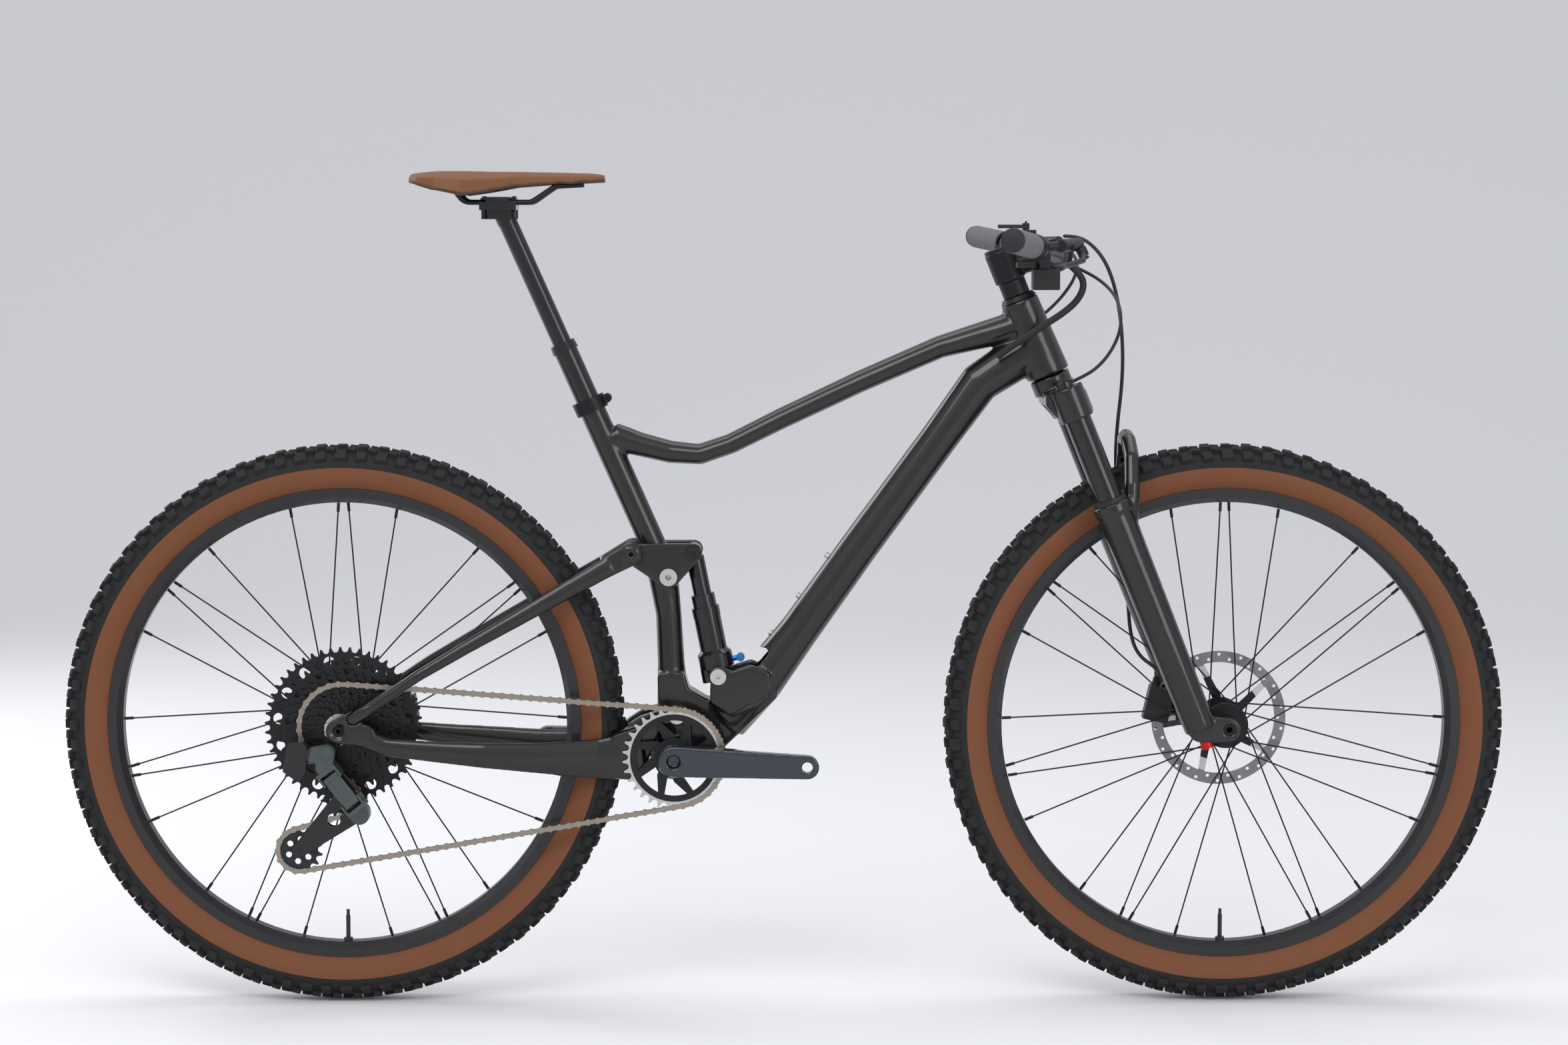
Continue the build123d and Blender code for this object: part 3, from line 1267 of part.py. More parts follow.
def stem():
    """The stem with its faceplate and bolts, the spacers below it and the top cap."""
    pieces = []
    top = 690.0
    body = rod(steer(top - 40), steer(top), 21)
    middle = Vector(*steer(top - 20))
    bar = Vector(bar_centre[0], 0, bar_centre[1])
    neck = rod(middle, bar, 15)
    clamp = cross_rod(bar_centre, -27, 27, 22)
    bore = [cross_rod(bar_centre, -40, 40, bar_clamp_radius + 0.02),
            rod(steer(top - 60), steer(top + 5), 14.3 + 0.02)]
    heading = (bar - middle).normalized()
    cut_plane = Plane(origin=bar + heading * 0.6, z_dir=heading)
    front_half = Solid.make_box(80, 80, 40, Plane(origin=cut_plane.origin, x_dir=(0, 1, 0), z_dir=heading))
    front_half = front_half.moved(Location(Vector(0, -40, 0) - cut_plane.z_dir.cross(Vector(0, 1, 0)) * 40))
    whole = body.fuse(neck, clamp).cut(*bore)
    rear = whole.cut(front_half)
    face = clamp.cut(*bore).intersect(front_half.moved(Location(heading * 0.8)))
    pieces += [rear, *face.solids()]
    spacer = rod(steer(head_tube_top + 6.05), steer(top - 40.05), 18)
    pieces.append(spacer.cut(rod(steer(head_tube_top), steer(top), 14.3 + 0.02)))
    cap = rod(steer(top + 0.05), steer(top + 6), 20)
    pieces.append(cap.fuse(rod(steer(top + 5), steer(top + 9), 4.5)))
    return pieces


def brake_lever_body(side):
    """The clamp on the bar and the master cylinder in front of it."""
    y = side * 213.0
    clamp_low, clamp_high = bar_point(y - 7), bar_point(y + 7)
    clamp = rod(clamp_low, clamp_high, bar_radius + 5)
    cylinder = rod(bar_point(side * 208, 30, 2), bar_point(side * 146, 42, 7), 8.5)
    neck = rod(bar_point(y, 8, 0), bar_point(side * 205, 26, 2), 6)
    pivot = Vector(*lever_pivot(side))
    lug = rod(pivot + lever_axis * -10.5, pivot + lever_axis * 10.5, 5.5)
    bridge = rod(pivot, bar_point(side * 186, 33, 3), 5)
    slot = rod(pivot + lever_axis * -6.6, pivot + lever_axis * 6.6, 13)
    pin = rod(pivot + lever_axis * -10, pivot + lever_axis * 10, 2.0)
    body = clamp.fuse(cylinder, neck, lug, bridge).cut(slot)
    body = body.cut(rod(bar_point(side * 190), bar_point(side * 236), bar_radius + 0.02))
    return body.fuse(pin)


lever_axis = Vector(-0.42, 0, 0.907).normalized()


def lever_pivot(side):
    return bar_point(side * 176, 52, -4)


def lever_blade(side):
    """The brake lever, from its pivot out in front of the grip."""
    pivot = Vector(*lever_pivot(side))
    elbow = Vector(*bar_point(side * 206, 58, -16))
    reach = Vector(*bar_point(side * 262, 44, -26))
    tip = Vector(*bar_point(side * 306, 47, -30))
    eye = rod(pivot + lever_axis * -6, pivot + lever_axis * 6, 7)
    blade = capsule_run([tuple(pivot), tuple(elbow), tuple(reach), tuple(tip)], 3.8)
    end = Solid.make_sphere(3.8, Plane(origin=tip))
    return eye.fuse(blade, end).cut(rod(pivot + lever_axis * -9, pivot + lever_axis * 9, 2.0 + running))


def shifter_pod():
    """The radio shifter under the right of the bar, on its own clamp."""
    clamp = rod(bar_point(-195), bar_point(-186), bar_radius + 4)
    x, _, z = bar_point(-180)
    body = box((x - 10, -196, z - 52), (x + 24, -160, z - 26)).fuse(
        box((x - 2, -194, z - 30), (x + 12, -184, z - 8)))
    body = body.fuse(clamp).cut(rod(bar_point(-215), bar_point(-150), bar_radius + 0.02))
    pin = rod((x - 4, -178, z - 27), (x - 4, -178, z - 16), 2)
    return [body.fuse(pin)]


def shifter_paddle():
    """The rocking paddle that the thumb pushes."""
    x, _, z = bar_point(-180)
    hub = rod((x - 4, -178, z - 25.6), (x - 4, -178, z - 17), 5.5)
    blade = box((x - 30, -190, z - 24), (x - 6, -166, z - 18))
    return hub.fuse(blade).cut(rod((x - 4, -178, z - 30), (x - 4, -178, z - 10), 2 + running))


def remote_mount():
    """The clamp of the left remote levers."""
    clamp = rod(bar_point(188), bar_point(196), bar_radius + 4)
    x, _, z = bar_point(180)
    body = box((x - 12, 168, z + 13), (x + 22, 196, z + 22)).fuse(box((x - 5, 188, z + 5), (x + 5, 196, z + 14)))
    pin = rod((x + 8, 176, z + 18), (x + 8, 176, z + 34), 2)
    return body.fuse(clamp, pin).cut(rod(bar_point(150), bar_point(215), bar_radius + 0.02))


def remote_paddle():
    x, _, z = bar_point(180)
    hub = rod((x + 8, 176, z + 22.4), (x + 8, 176, z + 31), 5)
    blade = box((x - 30, 170, z + 24), (x + 6, 182, z + 29))
    return hub.fuse(blade).cut(rod((x + 8, 176, z + 10), (x + 8, 176, z + 40), 2 + running))


# ---------------------------------------------------------------- hoses

def hose(points, radius, share=0.45):
    """A tube of straight runs joined by tangent arcs, each as large as its runs allow."""
    vectors = [Vector(*p) for p in points]
    radii = []
    for before, here, after in zip(vectors, vectors[1:], vectors[2:]):
        turn = radians((here - before).get_angle(after - here))
        shorter = min((here - before).length, (after - here).length)
        radii.append(share * shorter / tan(turn / 2))
    path = FilletPolyline(*points, radius=radii)
    tube = sweep(Plane(origin=path @ 0, z_dir=path % 0) * Circle(radius), path=path)
    print("hose: length", round(path.length, 1), "tightest bend", round(min(radii), 1),
          "volume ratio", round(tube.volume / (pi * radius ** 2 * path.length), 4))
    return tube


port = (272.0, -31.5, 852.0)

# the wrapped bundle from the port in the head tube up to the bar
bundle_route = [
    (279, -33, 858), (292, -40, 869), (315, -50, 884), (338, -54, 900), (362, -52, 915),
    (381, -49, 931), (390, -48, 949), (386, -47, 965), (372, -46, 977),
]
# the dropper post's cable, from behind the head tube round to the left remote
cable_route = [
    (336, 22, 906), (352, 32, 918), (371, 40, 937), (386, 52, 958), (393, 74, 978),
    (386, 98, 994), (370, 120, 1004), (350, 140, 1010), (330, 157, 1013),
]
# the fork's remote lock-out cable
lockout_route = [
    (384, 54, 975), (406, 44, 965), (426, 22, 950), (438, -4, 932), (441, -30, 908),
    (435, -48, 884), (421, -58, 860), (404, -64, 843), steer(501.5, 36, -66), steer(501, 22.3, -66),
]
# the front brake hose, from the left lever down past the arch and on to the caliper
brake_route = [
    (379, 132, 1014), (396, 112, 1014), (414, 90, 1002), (430, 76, 980), (441, 71, 950),
    (448, 69, 916), (452, 68, 880), (453, 67, 842), (451, 67, 806), (447, 68, 770),
    (445, 72, 734), (446, 79, 700), (450, 86, 664), (455, 97, 624), (460, 99, 585),
    (464, 99, 548), (466, 94, 515), (467, 82, 486), (471, 66, 464), (480, 52, 450), (492, 44, 442), (502, 42, 434),
    (506.5, 42, 418),
]
bundle_radius = 4.5
cable_radius = 2.2
brake_hose_radius = 2.5


# ---------------------------------------------------------------- all nodes

def wheel(prefix, centre, flange_left, flange_right, left_end, right_end, bore, rotor_y, radius):
    spokes = spoke_set(centre, flange_left, flange_right, 27)
    rim_body, valve_foot = rim(centre, None)
    save(prefix + "_tyre", tyre(centre))
    save(prefix + "_rim", rim_body, valve(valve_foot))
    save(prefix + "_spokes", *spokes)
    hub_body = hub(centre, 0, flange_left, flange_right, 27, bore, left_end, right_end)
    disc = rotor(centre, rotor_y, radius)
    save(prefix + "_hub", hub_body)
    save(prefix + "_rotor", disc.cut(hub_body))


frame_body = main_frame()
save("main_frame", frame_body)
save("frame_fittings", *frame_fittings(frame_body))
save("headset", *headset())
save("bottom_bracket", *bottom_bracket())
save("seat_clamp", *seat_clamp())
save("pivot_bolts", *pivot_bolts())
save("dropper_outer", dropper_outer())
save("dropper_stanchion", *dropper_stanchion())
save("saddle_rails", *saddle_rails())
saddle_cover, saddle_shell = saddle()
save("saddle_cover", saddle_cover)
save("saddle_shell", saddle_shell)
swingarm_body = swingarm()
save("swingarm", swingarm_body)
save("rear_axle", rear_axle_bolt())
save("derailleur_hanger", derailleur_hanger())
save("rear_brake_caliper",
     *caliper(rear_axle, 9, rear_rotor_y, rear_rotor_radius, rear_rotor_y + 22, 32, swingarm_body))
save("seatstays", *seatstays())
save("rocker", *rocker())
save("shock_shaft", *shock_shaft())
shock_can, shock_lever = shock_body()
save("shock_body", shock_can, *shock_lever)
wheel("front", front_axle, 24, 34, front_hub_width / 2 - 0.3, front_hub_width / 2 - 0.3, axle_radius + running,
      front_rotor_y, rotor_radius)
wheel("rear", rear_axle, 36, 19, dropout_inner_y - 0.3, 20.8, rear_axle_radius + running,
      rear_rotor_y, rear_rotor_radius)
save("cassette", *cassette())
save("chainring", *chainring())
save("crankset", *crank_arms())
save("chain", *chain())
save("upper_pulley", pulley(upper_pulley, upper_pulley_teeth))
save("lower_pulley", pulley(lower_pulley, lower_pulley_teeth))
save("derailleur_cage", *derailleur_cage())
knuckle = derailleur_knuckle()
save("derailleur_knuckle", *knuckle, battery(knuckle[0]))
save("derailleur_outer_link", derailleur_link(link_outer_y))
save("derailleur_inner_link", derailleur_link(link_inner_y))
save("derailleur_p_knuckle", p_knuckle())
save("fork_crown", fork_crown())
save("stanchions", *stanchions())
lowers = fork_lowers()
save("fork_lowers", lowers)
save("fork_fittings", *fork_fittings(lowers))
save("front_axle", front_axle_pin())
save("front_brake_caliper", *caliper(front_axle, 167, front_rotor_y, rotor_radius, front_rotor_y + 14, 46, lowers))
save("stem", *stem())
save("handlebar", handlebar())
save("grips", *grips())
save("brake_lever_bodies", brake_lever_body(-1), brake_lever_body(1))
save("brake_lever_right", lever_blade(-1))
save("brake_lever_left", lever_blade(1))
save("bar_controls", *shifter_pod(), remote_mount())
save("shifter_paddle", shifter_paddle())
save("remote_paddle", remote_paddle())
save("cable_bundle", hose(bundle_route, bundle_radius))
save("dropper_cable", hose(cable_route, cable_radius))
save("lockout_cable", hose(lockout_route, cable_radius))
save("front_brake_hose", hose(brake_route, brake_hose_radius))
print("chain links", chain_links, "cage angle", round(cage_angle, 2), "lower pulley", lower_pulley)
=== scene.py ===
import json
from math import cos, pi, radians, sin, tan

import bmesh
import bpy
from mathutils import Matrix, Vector


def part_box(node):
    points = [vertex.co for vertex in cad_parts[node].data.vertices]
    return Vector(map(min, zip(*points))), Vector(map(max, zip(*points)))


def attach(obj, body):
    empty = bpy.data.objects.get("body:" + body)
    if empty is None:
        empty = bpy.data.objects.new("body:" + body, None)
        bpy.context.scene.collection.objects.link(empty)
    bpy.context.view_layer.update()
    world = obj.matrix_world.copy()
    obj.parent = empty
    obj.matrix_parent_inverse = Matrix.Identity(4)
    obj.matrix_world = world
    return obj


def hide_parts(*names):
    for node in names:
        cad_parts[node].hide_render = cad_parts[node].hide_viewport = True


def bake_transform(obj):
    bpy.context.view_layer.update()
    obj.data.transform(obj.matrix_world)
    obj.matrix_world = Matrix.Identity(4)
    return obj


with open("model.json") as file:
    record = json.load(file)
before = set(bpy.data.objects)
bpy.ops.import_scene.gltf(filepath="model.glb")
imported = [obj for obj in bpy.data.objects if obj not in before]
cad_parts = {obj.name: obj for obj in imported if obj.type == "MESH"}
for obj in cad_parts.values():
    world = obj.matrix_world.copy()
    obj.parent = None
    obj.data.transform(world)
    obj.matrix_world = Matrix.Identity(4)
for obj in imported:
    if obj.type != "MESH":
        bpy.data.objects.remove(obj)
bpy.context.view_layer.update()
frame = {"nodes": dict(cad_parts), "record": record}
nodes = frame["nodes"]
mm = 0.001

# ---- driving sizes, in metres, read from the frame where it has them ----
tyre_low, tyre_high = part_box("front_tyre")
tyre_radius = (tyre_high[2] - tyre_low[2]) / 2
tyre_half_width = (tyre_high[1] - tyre_low[1]) / 2
wheels = {}
for end in ("front", "rear"):
    low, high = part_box(f"{end}_tyre")
    wheels[end] = Vector(((low[0] + high[0]) / 2, 0, (low[2] + high[2]) / 2))
ring_low, ring_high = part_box("chainring")
bottom_bracket = Vector(((ring_low[0] + ring_high[0]) / 2, 0, (ring_low[2] + ring_high[2]) / 2))


# ---------------------------------------------------------------- camera, light and floor

def look(location, pitch, yaw):
    camera = bpy.data.objects.new("camera", bpy.data.cameras.new("camera"))
    camera.data.lens = 78.45
    camera.data.sensor_width = 36
    camera.data.dof.use_dof = False
    camera.data.clip_end = 60
    camera.location = location
    camera.rotation_euler = (radians(90 - pitch), 0, radians(-yaw))
    bpy.context.collection.objects.link(camera)
    bpy.context.scene.camera = camera


look((-0.020, -4.5, 1.0445), 5.17, 0.25)


def area_light(name, location, target, size, power):
    light = bpy.data.objects.new(name, bpy.data.lights.new(name, "AREA"))
    light.data.shape = "RECTANGLE"
    light.data.size, light.data.size_y = size
    light.data.energy = power
    light.location = location
    light.rotation_euler = (Vector(target) - Vector(location)).to_track_quat("-Z", "Y").to_euler()
    bpy.context.collection.objects.link(light)


area_light("key_light", (-1.2, -3.0, 3.4), (0, 0, 0.5), (3.2, 1.6), 78)
area_light("fill_light", (2.6, -3.2, 1.6), (0, 0, 0.5), (1.6, 2.2), 42)
area_light("top_light", (0, 0.6, 3.6), (0, 0, 0.5), (4.0, 1.2), 36)
area_light("rim_light", (-2.8, 2.2, 1.8), (0, 0, 0.6), (1.2, 2.2), 40)
world = bpy.data.worlds.new("studio")
world.use_nodes = True
world.node_tree.nodes["Background"].inputs["Color"].default_value = (0.93, 0.95, 1.0, 1)
world.node_tree.nodes["Background"].inputs["Strength"].default_value = 0.78
bpy.context.scene.world = world
bpy.context.scene.view_settings.view_transform = "Standard"


# ---------------------------------------------------------------- materials

def new_material(name, color, rough, metal=0.0, coat=0.0, grain=0.0, grain_size=900.0, wear=0.08, shine=0.3):
    """A surface with a little unevenness in its gloss and, with grain, a fine relief."""
    made = bpy.data.materials.new(name)
    made.use_nodes = True
    tree = made.node_tree
    shader = tree.nodes["Principled BSDF"]
    shader.inputs["Base Color"].default_value = (*color, 1)
    shader.inputs["Metallic"].default_value = metal
    shader.inputs["Coat Weight"].default_value = coat
    shader.inputs["Coat Roughness"].default_value = 0.05
    shader.inputs["Specular IOR Level"].default_value = shine
    place = tree.nodes.new("ShaderNodeTexCoord")
    noise = tree.nodes.new("ShaderNodeTexNoise")
    noise.inputs["Scale"].default_value = 38
    noise.inputs["Detail"].default_value = 5
    tree.links.new(place.outputs["Object"], noise.inputs["Vector"])
    spread = tree.nodes.new("ShaderNodeMapRange")
    spread.inputs["To Min"].default_value = max(rough - wear, 0.02)
    spread.inputs["To Max"].default_value = min(rough + wear, 1)
    tree.links.new(noise.outputs["Fac"], spread.inputs["Value"])
    tree.links.new(spread.outputs["Result"], shader.inputs["Roughness"])
    if grain:
        fine = tree.nodes.new("ShaderNodeTexNoise")
        fine.inputs["Scale"].default_value = grain_size
        fine.inputs["Detail"].default_value = 3
        tree.links.new(place.outputs["Object"], fine.inputs["Vector"])
        bump = tree.nodes.new("ShaderNodeBump")
        bump.inputs["Strength"].default_value = grain
        bump.inputs["Distance"].default_value = 0.0004
        tree.links.new(fine.outputs["Fac"], bump.inputs["Height"])
        tree.links.new(bump.outputs["Normal"], shader.inputs["Normal"])
    return made


def color_by_radius(made, centre, bands):
    """Colour a turned piece by its distance from the axle: bands are (radius, colour, metallic)."""
    tree = made.node_tree
    shader = tree.nodes["Principled BSDF"]
    place = tree.nodes.new("ShaderNodeTexCoord")
    from_axle = tree.nodes.new("ShaderNodeVectorMath")
    from_axle.operation = "SUBTRACT"
    from_axle.inputs[1].default_value = centre
    tree.links.new(place.outputs["Object"], from_axle.inputs[0])
    flat = tree.nodes.new("ShaderNodeVectorMath")
    flat.operation = "MULTIPLY"
    flat.inputs[1].default_value = (1, 0, 1)
    tree.links.new(from_axle.outputs[0], flat.inputs[0])
    length = tree.nodes.new("ShaderNodeVectorMath")
    length.operation = "LENGTH"
    tree.links.new(flat.outputs[0], length.inputs[0])
    reach = bands[-1][0] * 1.2
    share = tree.nodes.new("ShaderNodeMath")
    share.operation = "DIVIDE"
    share.inputs[1].default_value = reach
    tree.links.new(length.outputs["Value"], share.inputs[0])
    for socket, pick in (("Base Color", 1), ("Metallic", 2)):
        ramp = tree.nodes.new("ShaderNodeValToRGB")
        ramp.color_ramp.interpolation = "CONSTANT"
        stops = ramp.color_ramp.elements
        for i, band in enumerate(bands):
            stop = stops[0] if i == 0 else stops.new(bands[i - 1][0] / reach)
            stop.color = (*band[1], 1) if pick == 1 else (band[2], band[2], band[2], 1)
        stops[-1].color = stops[-2].color
        tree.links.new(share.outputs[0], ramp.inputs["Fac"])
        tree.links.new(ramp.outputs["Color"], shader.inputs[socket])
    return made


carbon = new_material("carbon_gloss", (0.0052, 0.0038, 0.0034), 0.36, coat=0.5, wear=0.04)
fork_gloss = new_material("fork_gloss", (0.003, 0.003, 0.0032), 0.34, coat=0.5, wear=0.04)
carbon_satin = new_material("rim_carbon", (0.012, 0.012, 0.013), 0.42, coat=0.25, grain=0.05, grain_size=600)
anodised = new_material("black_anodised", (0.014, 0.014, 0.016), 0.38, metal=0.55, grain=0.1, grain_size=1500)
hard_black = new_material("hard_anodised", (0.010, 0.010, 0.011), 0.22, metal=0.35, coat=0.4)
caliper_black = new_material("caliper_black", (0.018, 0.018, 0.020), 0.42, metal=0.3, grain=0.15)
crank_blue = new_material("crank_gloss", (0.009, 0.014, 0.022), 0.26, metal=0.25, coat=0.9)
derailleur_grey = new_material("derailleur_grey", (0.075, 0.088, 0.086), 0.36, metal=0.6, grain=0.06)
derailleur_dark = new_material("derailleur_dark", (0.014, 0.015, 0.016), 0.3, metal=0.4, coat=0.3)
steel = new_material("bright_steel", (0.55, 0.54, 0.52), 0.3, metal=1.0)
chain_steel = new_material("chain_steel", (0.30, 0.265, 0.225), 0.34, metal=1.0, wear=0.14)
spoke_black = new_material("spoke_black", (0.012, 0.012, 0.013), 0.35, metal=0.5)
moulded = new_material("moulded_black", (0.016, 0.016, 0.017), 0.55, grain=0.2, grain_size=1600)
tread = new_material("tyre_tread", (0.013, 0.013, 0.0135), 0.78, grain=0.5, grain_size=1100)
sidewall = new_material("tyre_sidewall", (0.150, 0.052, 0.020), 0.66, grain=0.35, grain_size=1400)
leather = new_material("saddle_tan", (0.150, 0.056, 0.019), 0.52, grain=0.6, grain_size=1100)
piping_dark = new_material("saddle_piping", (0.05, 0.026, 0.015), 0.6, grain=0.3)
grip_grey = new_material("grip_grey", (0.13, 0.13, 0.135), 0.6, grain=0.5, grain_size=1000)
hose_black = new_material("hose_black", (0.011, 0.011, 0.012), 0.38)
bundle_wrap = new_material("bundle_wrap", (0.014, 0.014, 0.015), 0.6, grain=0.5)
blue_knob = new_material("blue_anodised", (0.03, 0.16, 0.42), 0.28, metal=0.8)
red_knob = new_material("red_anodised", (0.45, 0.02, 0.015), 0.28, metal=0.8)

plain = {
    carbon: ["main_frame", "swingarm", "seatstays", "rocker"],
    anodised: ["headset", "bottom_bracket", "seat_clamp", "rear_axle", "derailleur_hanger", "front_axle",
               "stem", "handlebar", "front_hub", "rear_hub"],
    steel: ["pivot_bolts", "frame_fittings"],
    hard_black: ["dropper_outer", "dropper_stanchion", "stanchions", "shock_body", "shock_shaft"],
    caliper_black: ["rear_brake_caliper", "front_brake_caliper", "brake_lever_bodies", "brake_lever_right",
                    "brake_lever_left"],
    fork_gloss: ["fork_crown", "fork_lowers"],
    carbon_satin: ["front_rim", "rear_rim"],
    spoke_black: ["front_spokes", "rear_spokes", "saddle_rails"],
    crank_blue: ["crankset"],
    chain_steel: ["chain"],
    derailleur_grey: ["derailleur_knuckle", "derailleur_p_knuckle", "derailleur_outer_link"],
    derailleur_dark: ["derailleur_cage", "derailleur_inner_link"],
    moulded: ["bar_controls", "shifter_paddle", "remote_paddle", "saddle_shell", "upper_pulley",
              "lower_pulley"],
    red_knob: ["fork_fittings"],
}
for surface, names in plain.items():
    for name in names:
        nodes[name].data.materials.clear()
        nodes[name].data.materials.append(surface)


def banded(name, node, centre, bands, rough):
    surface = color_by_radius(new_material(name, (0.1, 0.1, 0.1), rough), centre, bands)
    nodes[node].data.materials.clear()
    nodes[node].data.materials.append(surface)


silver, dark = (0.50, 0.49, 0.48), (0.013, 0.013, 0.014)
for end in ("front", "rear"):
    low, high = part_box(f"{end}_rotor")
    outer = (high[2] - low[2]) / 2
    banded(f"{end}_rotor_steel", f"{end}_rotor", wheels[end],
           [(outer - 0.033, dark, 0.3), (outer - 0.017, silver, 1.0), (outer, (0.20, 0.20, 0.205), 1.0)],
           0.33)
banded("cassette_black", "cassette", wheels["rear"],
       [(0.020, silver, 0.9), (0.2, (0.022, 0.022, 0.023), 0.7)], 0.34)
ring_outer = (ring_high[2] - ring_low[2]) / 2
banded("ring_steel", "chainring", bottom_bracket, [(ring_outer - 0.010, (0.018, 0.019, 0.02), 0.5),
                                                   (ring_outer, silver, 1.0)], 0.32)


def paint(node, surface, low, high):
    """Give one finish to the faces of a node whose middle lies between two corners."""
    mesh = nodes[node].data
    mesh.materials.append(surface)
    for face in mesh.polygons:
        if all(low[i] <= face.center[i] <= high[i] for i in range(3)):
            face.material_index = len(mesh.materials) - 1


everywhere = 9.0
paint("fork_fittings", moulded, (-everywhere, -everywhere, 0.5), (everywhere,) * 3)
paint("fork_fittings", anodised, (-everywhere, 0, -1), (everywhere, everywhere, 0.5))
shock_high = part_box("shock_body")[1]
paint("shock_body", blue_knob, (shock_high[0] - 0.016, -everywhere, -1), (everywhere, everywhere, 1.2))
knuckle_low, knuckle_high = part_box("derailleur_knuckle")
paint("derailleur_knuckle", moulded, (-everywhere, -everywhere, -1),
      (knuckle_low[0] + (knuckle_high[0] - knuckle_low[0]) * 0.45, everywhere, 1))
for name in nodes:
    nodes[name].data.shade_smooth()
    nodes[name].data.set_sharp_from_angle(angle=radians(32))


# ---------------------------------------------------------------- mesh helpers

def add_mesh(name, vertices, faces, surface, smooth=True):
    mesh = bpy.data.meshes.new(name)
    mesh.from_pydata(vertices, [], faces)
    mesh.materials.append(surface)
    made = bpy.data.objects.new(name, mesh)
    bpy.context.collection.objects.link(made)
    if smooth:
        mesh.shade_smooth()
        mesh.set_sharp_from_angle(angle=radians(40))
    return made


def apply_modifiers(made):
    bpy.context.view_layer.update()
    ready = made.evaluated_get(bpy.context.evaluated_depsgraph_get())
    mesh = bpy.data.meshes.new_from_object(ready)
    made.modifiers.clear()
    made.data = mesh
    return made


def moulded_copy(node, voxel, rounds, surface):
    """A continuous moulded skin over a CAD piece: its joins become smooth fillets."""
    made = bpy.data.objects.new(f"{node}_skin", nodes[node].data.copy())
    bpy.context.collection.objects.link(made)
    remesh = made.modifiers.new("skin", "REMESH")
    remesh.mode = "VOXEL"
    remesh.voxel_size = voxel
    smooth = made.modifiers.new("smooth", "SMOOTH")
    smooth.factor = 0.5
    smooth.iterations = rounds
    fewer = made.modifiers.new("fewer", "DECIMATE")
    fewer.ratio = 0.35
    apply_modifiers(made)
    made.data.materials.clear()
    made.data.materials.append(surface)
    made.data.shade_smooth()
    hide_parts(node)
    return made


def body_of(node):
    for body, names in frame["record"]["behaviour"]["bodies"].items():
        if node in names:
            return body


# each piece's voxel size and rounds of smoothing
for node, voxel, rounds, surface in (
    ("main_frame", 0.0014, 34, carbon),
    ("swingarm", 0.0015, 16, carbon),
    ("seatstays", 0.0015, 14, carbon),
    ("rocker", 0.0014, 5, carbon),
    ("fork_lowers", 0.0016, 12, fork_gloss),
    ("fork_crown", 0.0015, 9, fork_gloss),
    ("crankset", 0.0015, 5, crank_blue),
    ("brake_lever_right", 0.0009, 5, caliper_black),
    ("brake_lever_left", 0.0009, 5, caliper_black),
    ("bar_controls", 0.0010, 8, moulded),
    ("stem", 0.0010, 5, anodised),
    ("brake_lever_bodies", 0.0008, 4, caliper_black),
    ("front_brake_caliper", 0.0008, 4, caliper_black),
    ("rear_brake_caliper", 0.0008, 4, caliper_black),
    ("derailleur_p_knuckle", 0.0008, 5, derailleur_grey),
    ("derailleur_outer_link", 0.0008, 4, derailleur_grey),
):
    skin = moulded_copy(node, voxel, rounds, surface)
    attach(skin, body_of(node))


# ---------------------------------------------------------------- tyres

def revolve(name, centre, profile, steps, surfaces):
    """A ring turned from (y, radius, surface) points round a wheel's axle."""
    count = len(profile)
    vertices = [(centre.x + r * cos(2 * pi * i / steps), y, centre.z + r * sin(2 * pi * i / steps))
                for i in range(steps) for y, r, _ in profile]
    faces = [(i * count + j, i * count + (j + 1) % count, (i + 1) % steps * count + (j + 1) % count,
              (i + 1) % steps * count + j) for i in range(steps) for j in range(count)]
    made = add_mesh(name, vertices, faces, surfaces[0])
    for surface in surfaces[1:]:
        made.data.materials.append(surface)
    for number, face in enumerate(made.data.polygons):
        face.material_index = profile[number % count][2]
    return made


def knob(mesh, centre, angle, y, radius, size, height, twist):
    """One tread block, a little narrower at its top."""
    out = Vector((cos(angle), 0, sin(angle)))
    along = Vector((-sin(angle), 0, cos(angle)))
    across = Vector((0, 1, 0))
    lean = y / tyre_half_width
    up = (out * cos(lean) + across * sin(lean)).normalized()
    side = (across * cos(lean) - out * sin(lean)).normalized()
    turned = (along * cos(twist) + side * sin(twist), side * cos(twist) - along * sin(twist))
    foot = Vector((centre.x, 0, centre.z)) + out * radius + across * y
    corners = []
    for level, shrink in ((-0.0012, 1.06), (height * 0.85, 0.94), (height, 0.80)):
        for sx, sy in ((-1, -1), (1, -1), (1, 1), (-1, 1)):
            corners.append(mesh.verts.new(foot + up * level + turned[0] * size[0] / 2 * shrink * sx
                                          + turned[1] * size[1] / 2 * shrink * sy))
    for base in (0, 4):
        for i in range(4):
            j = (i + 1) % 4
            mesh.faces.new([corners[base + k] for k in (i, j, 4 + j, 4 + i)])
    mesh.faces.new(corners[8:12])


casing_radius = tyre_radius - 0.0048
bead_radius = tyre_radius - 0.0600
half = tyre_half_width - 0.0012
crown_share = 33
outer_line = []
for i in range(crown_share):
    turn = -pi / 2 + pi * i / (crown_share - 1)
    y = half * sin(turn)
    outer_line.append((y, casing_radius - (1 - cos(turn)) * half * 0.86))
tread_edge = half * 0.976
bead_line = [(0.0125, bead_radius - 0.002), (0.019, bead_radius + 0.004), (0.0262, bead_radius + 0.015)]
profile = [(-y, r, 1) for y, r in bead_line]
profile += [(y, r, 0 if abs(y + 0.001) < tread_edge else 1) for y, r in outer_line]
profile += [(y, r, 1) for y, r in reversed(bead_line)]
knob_rows = 84


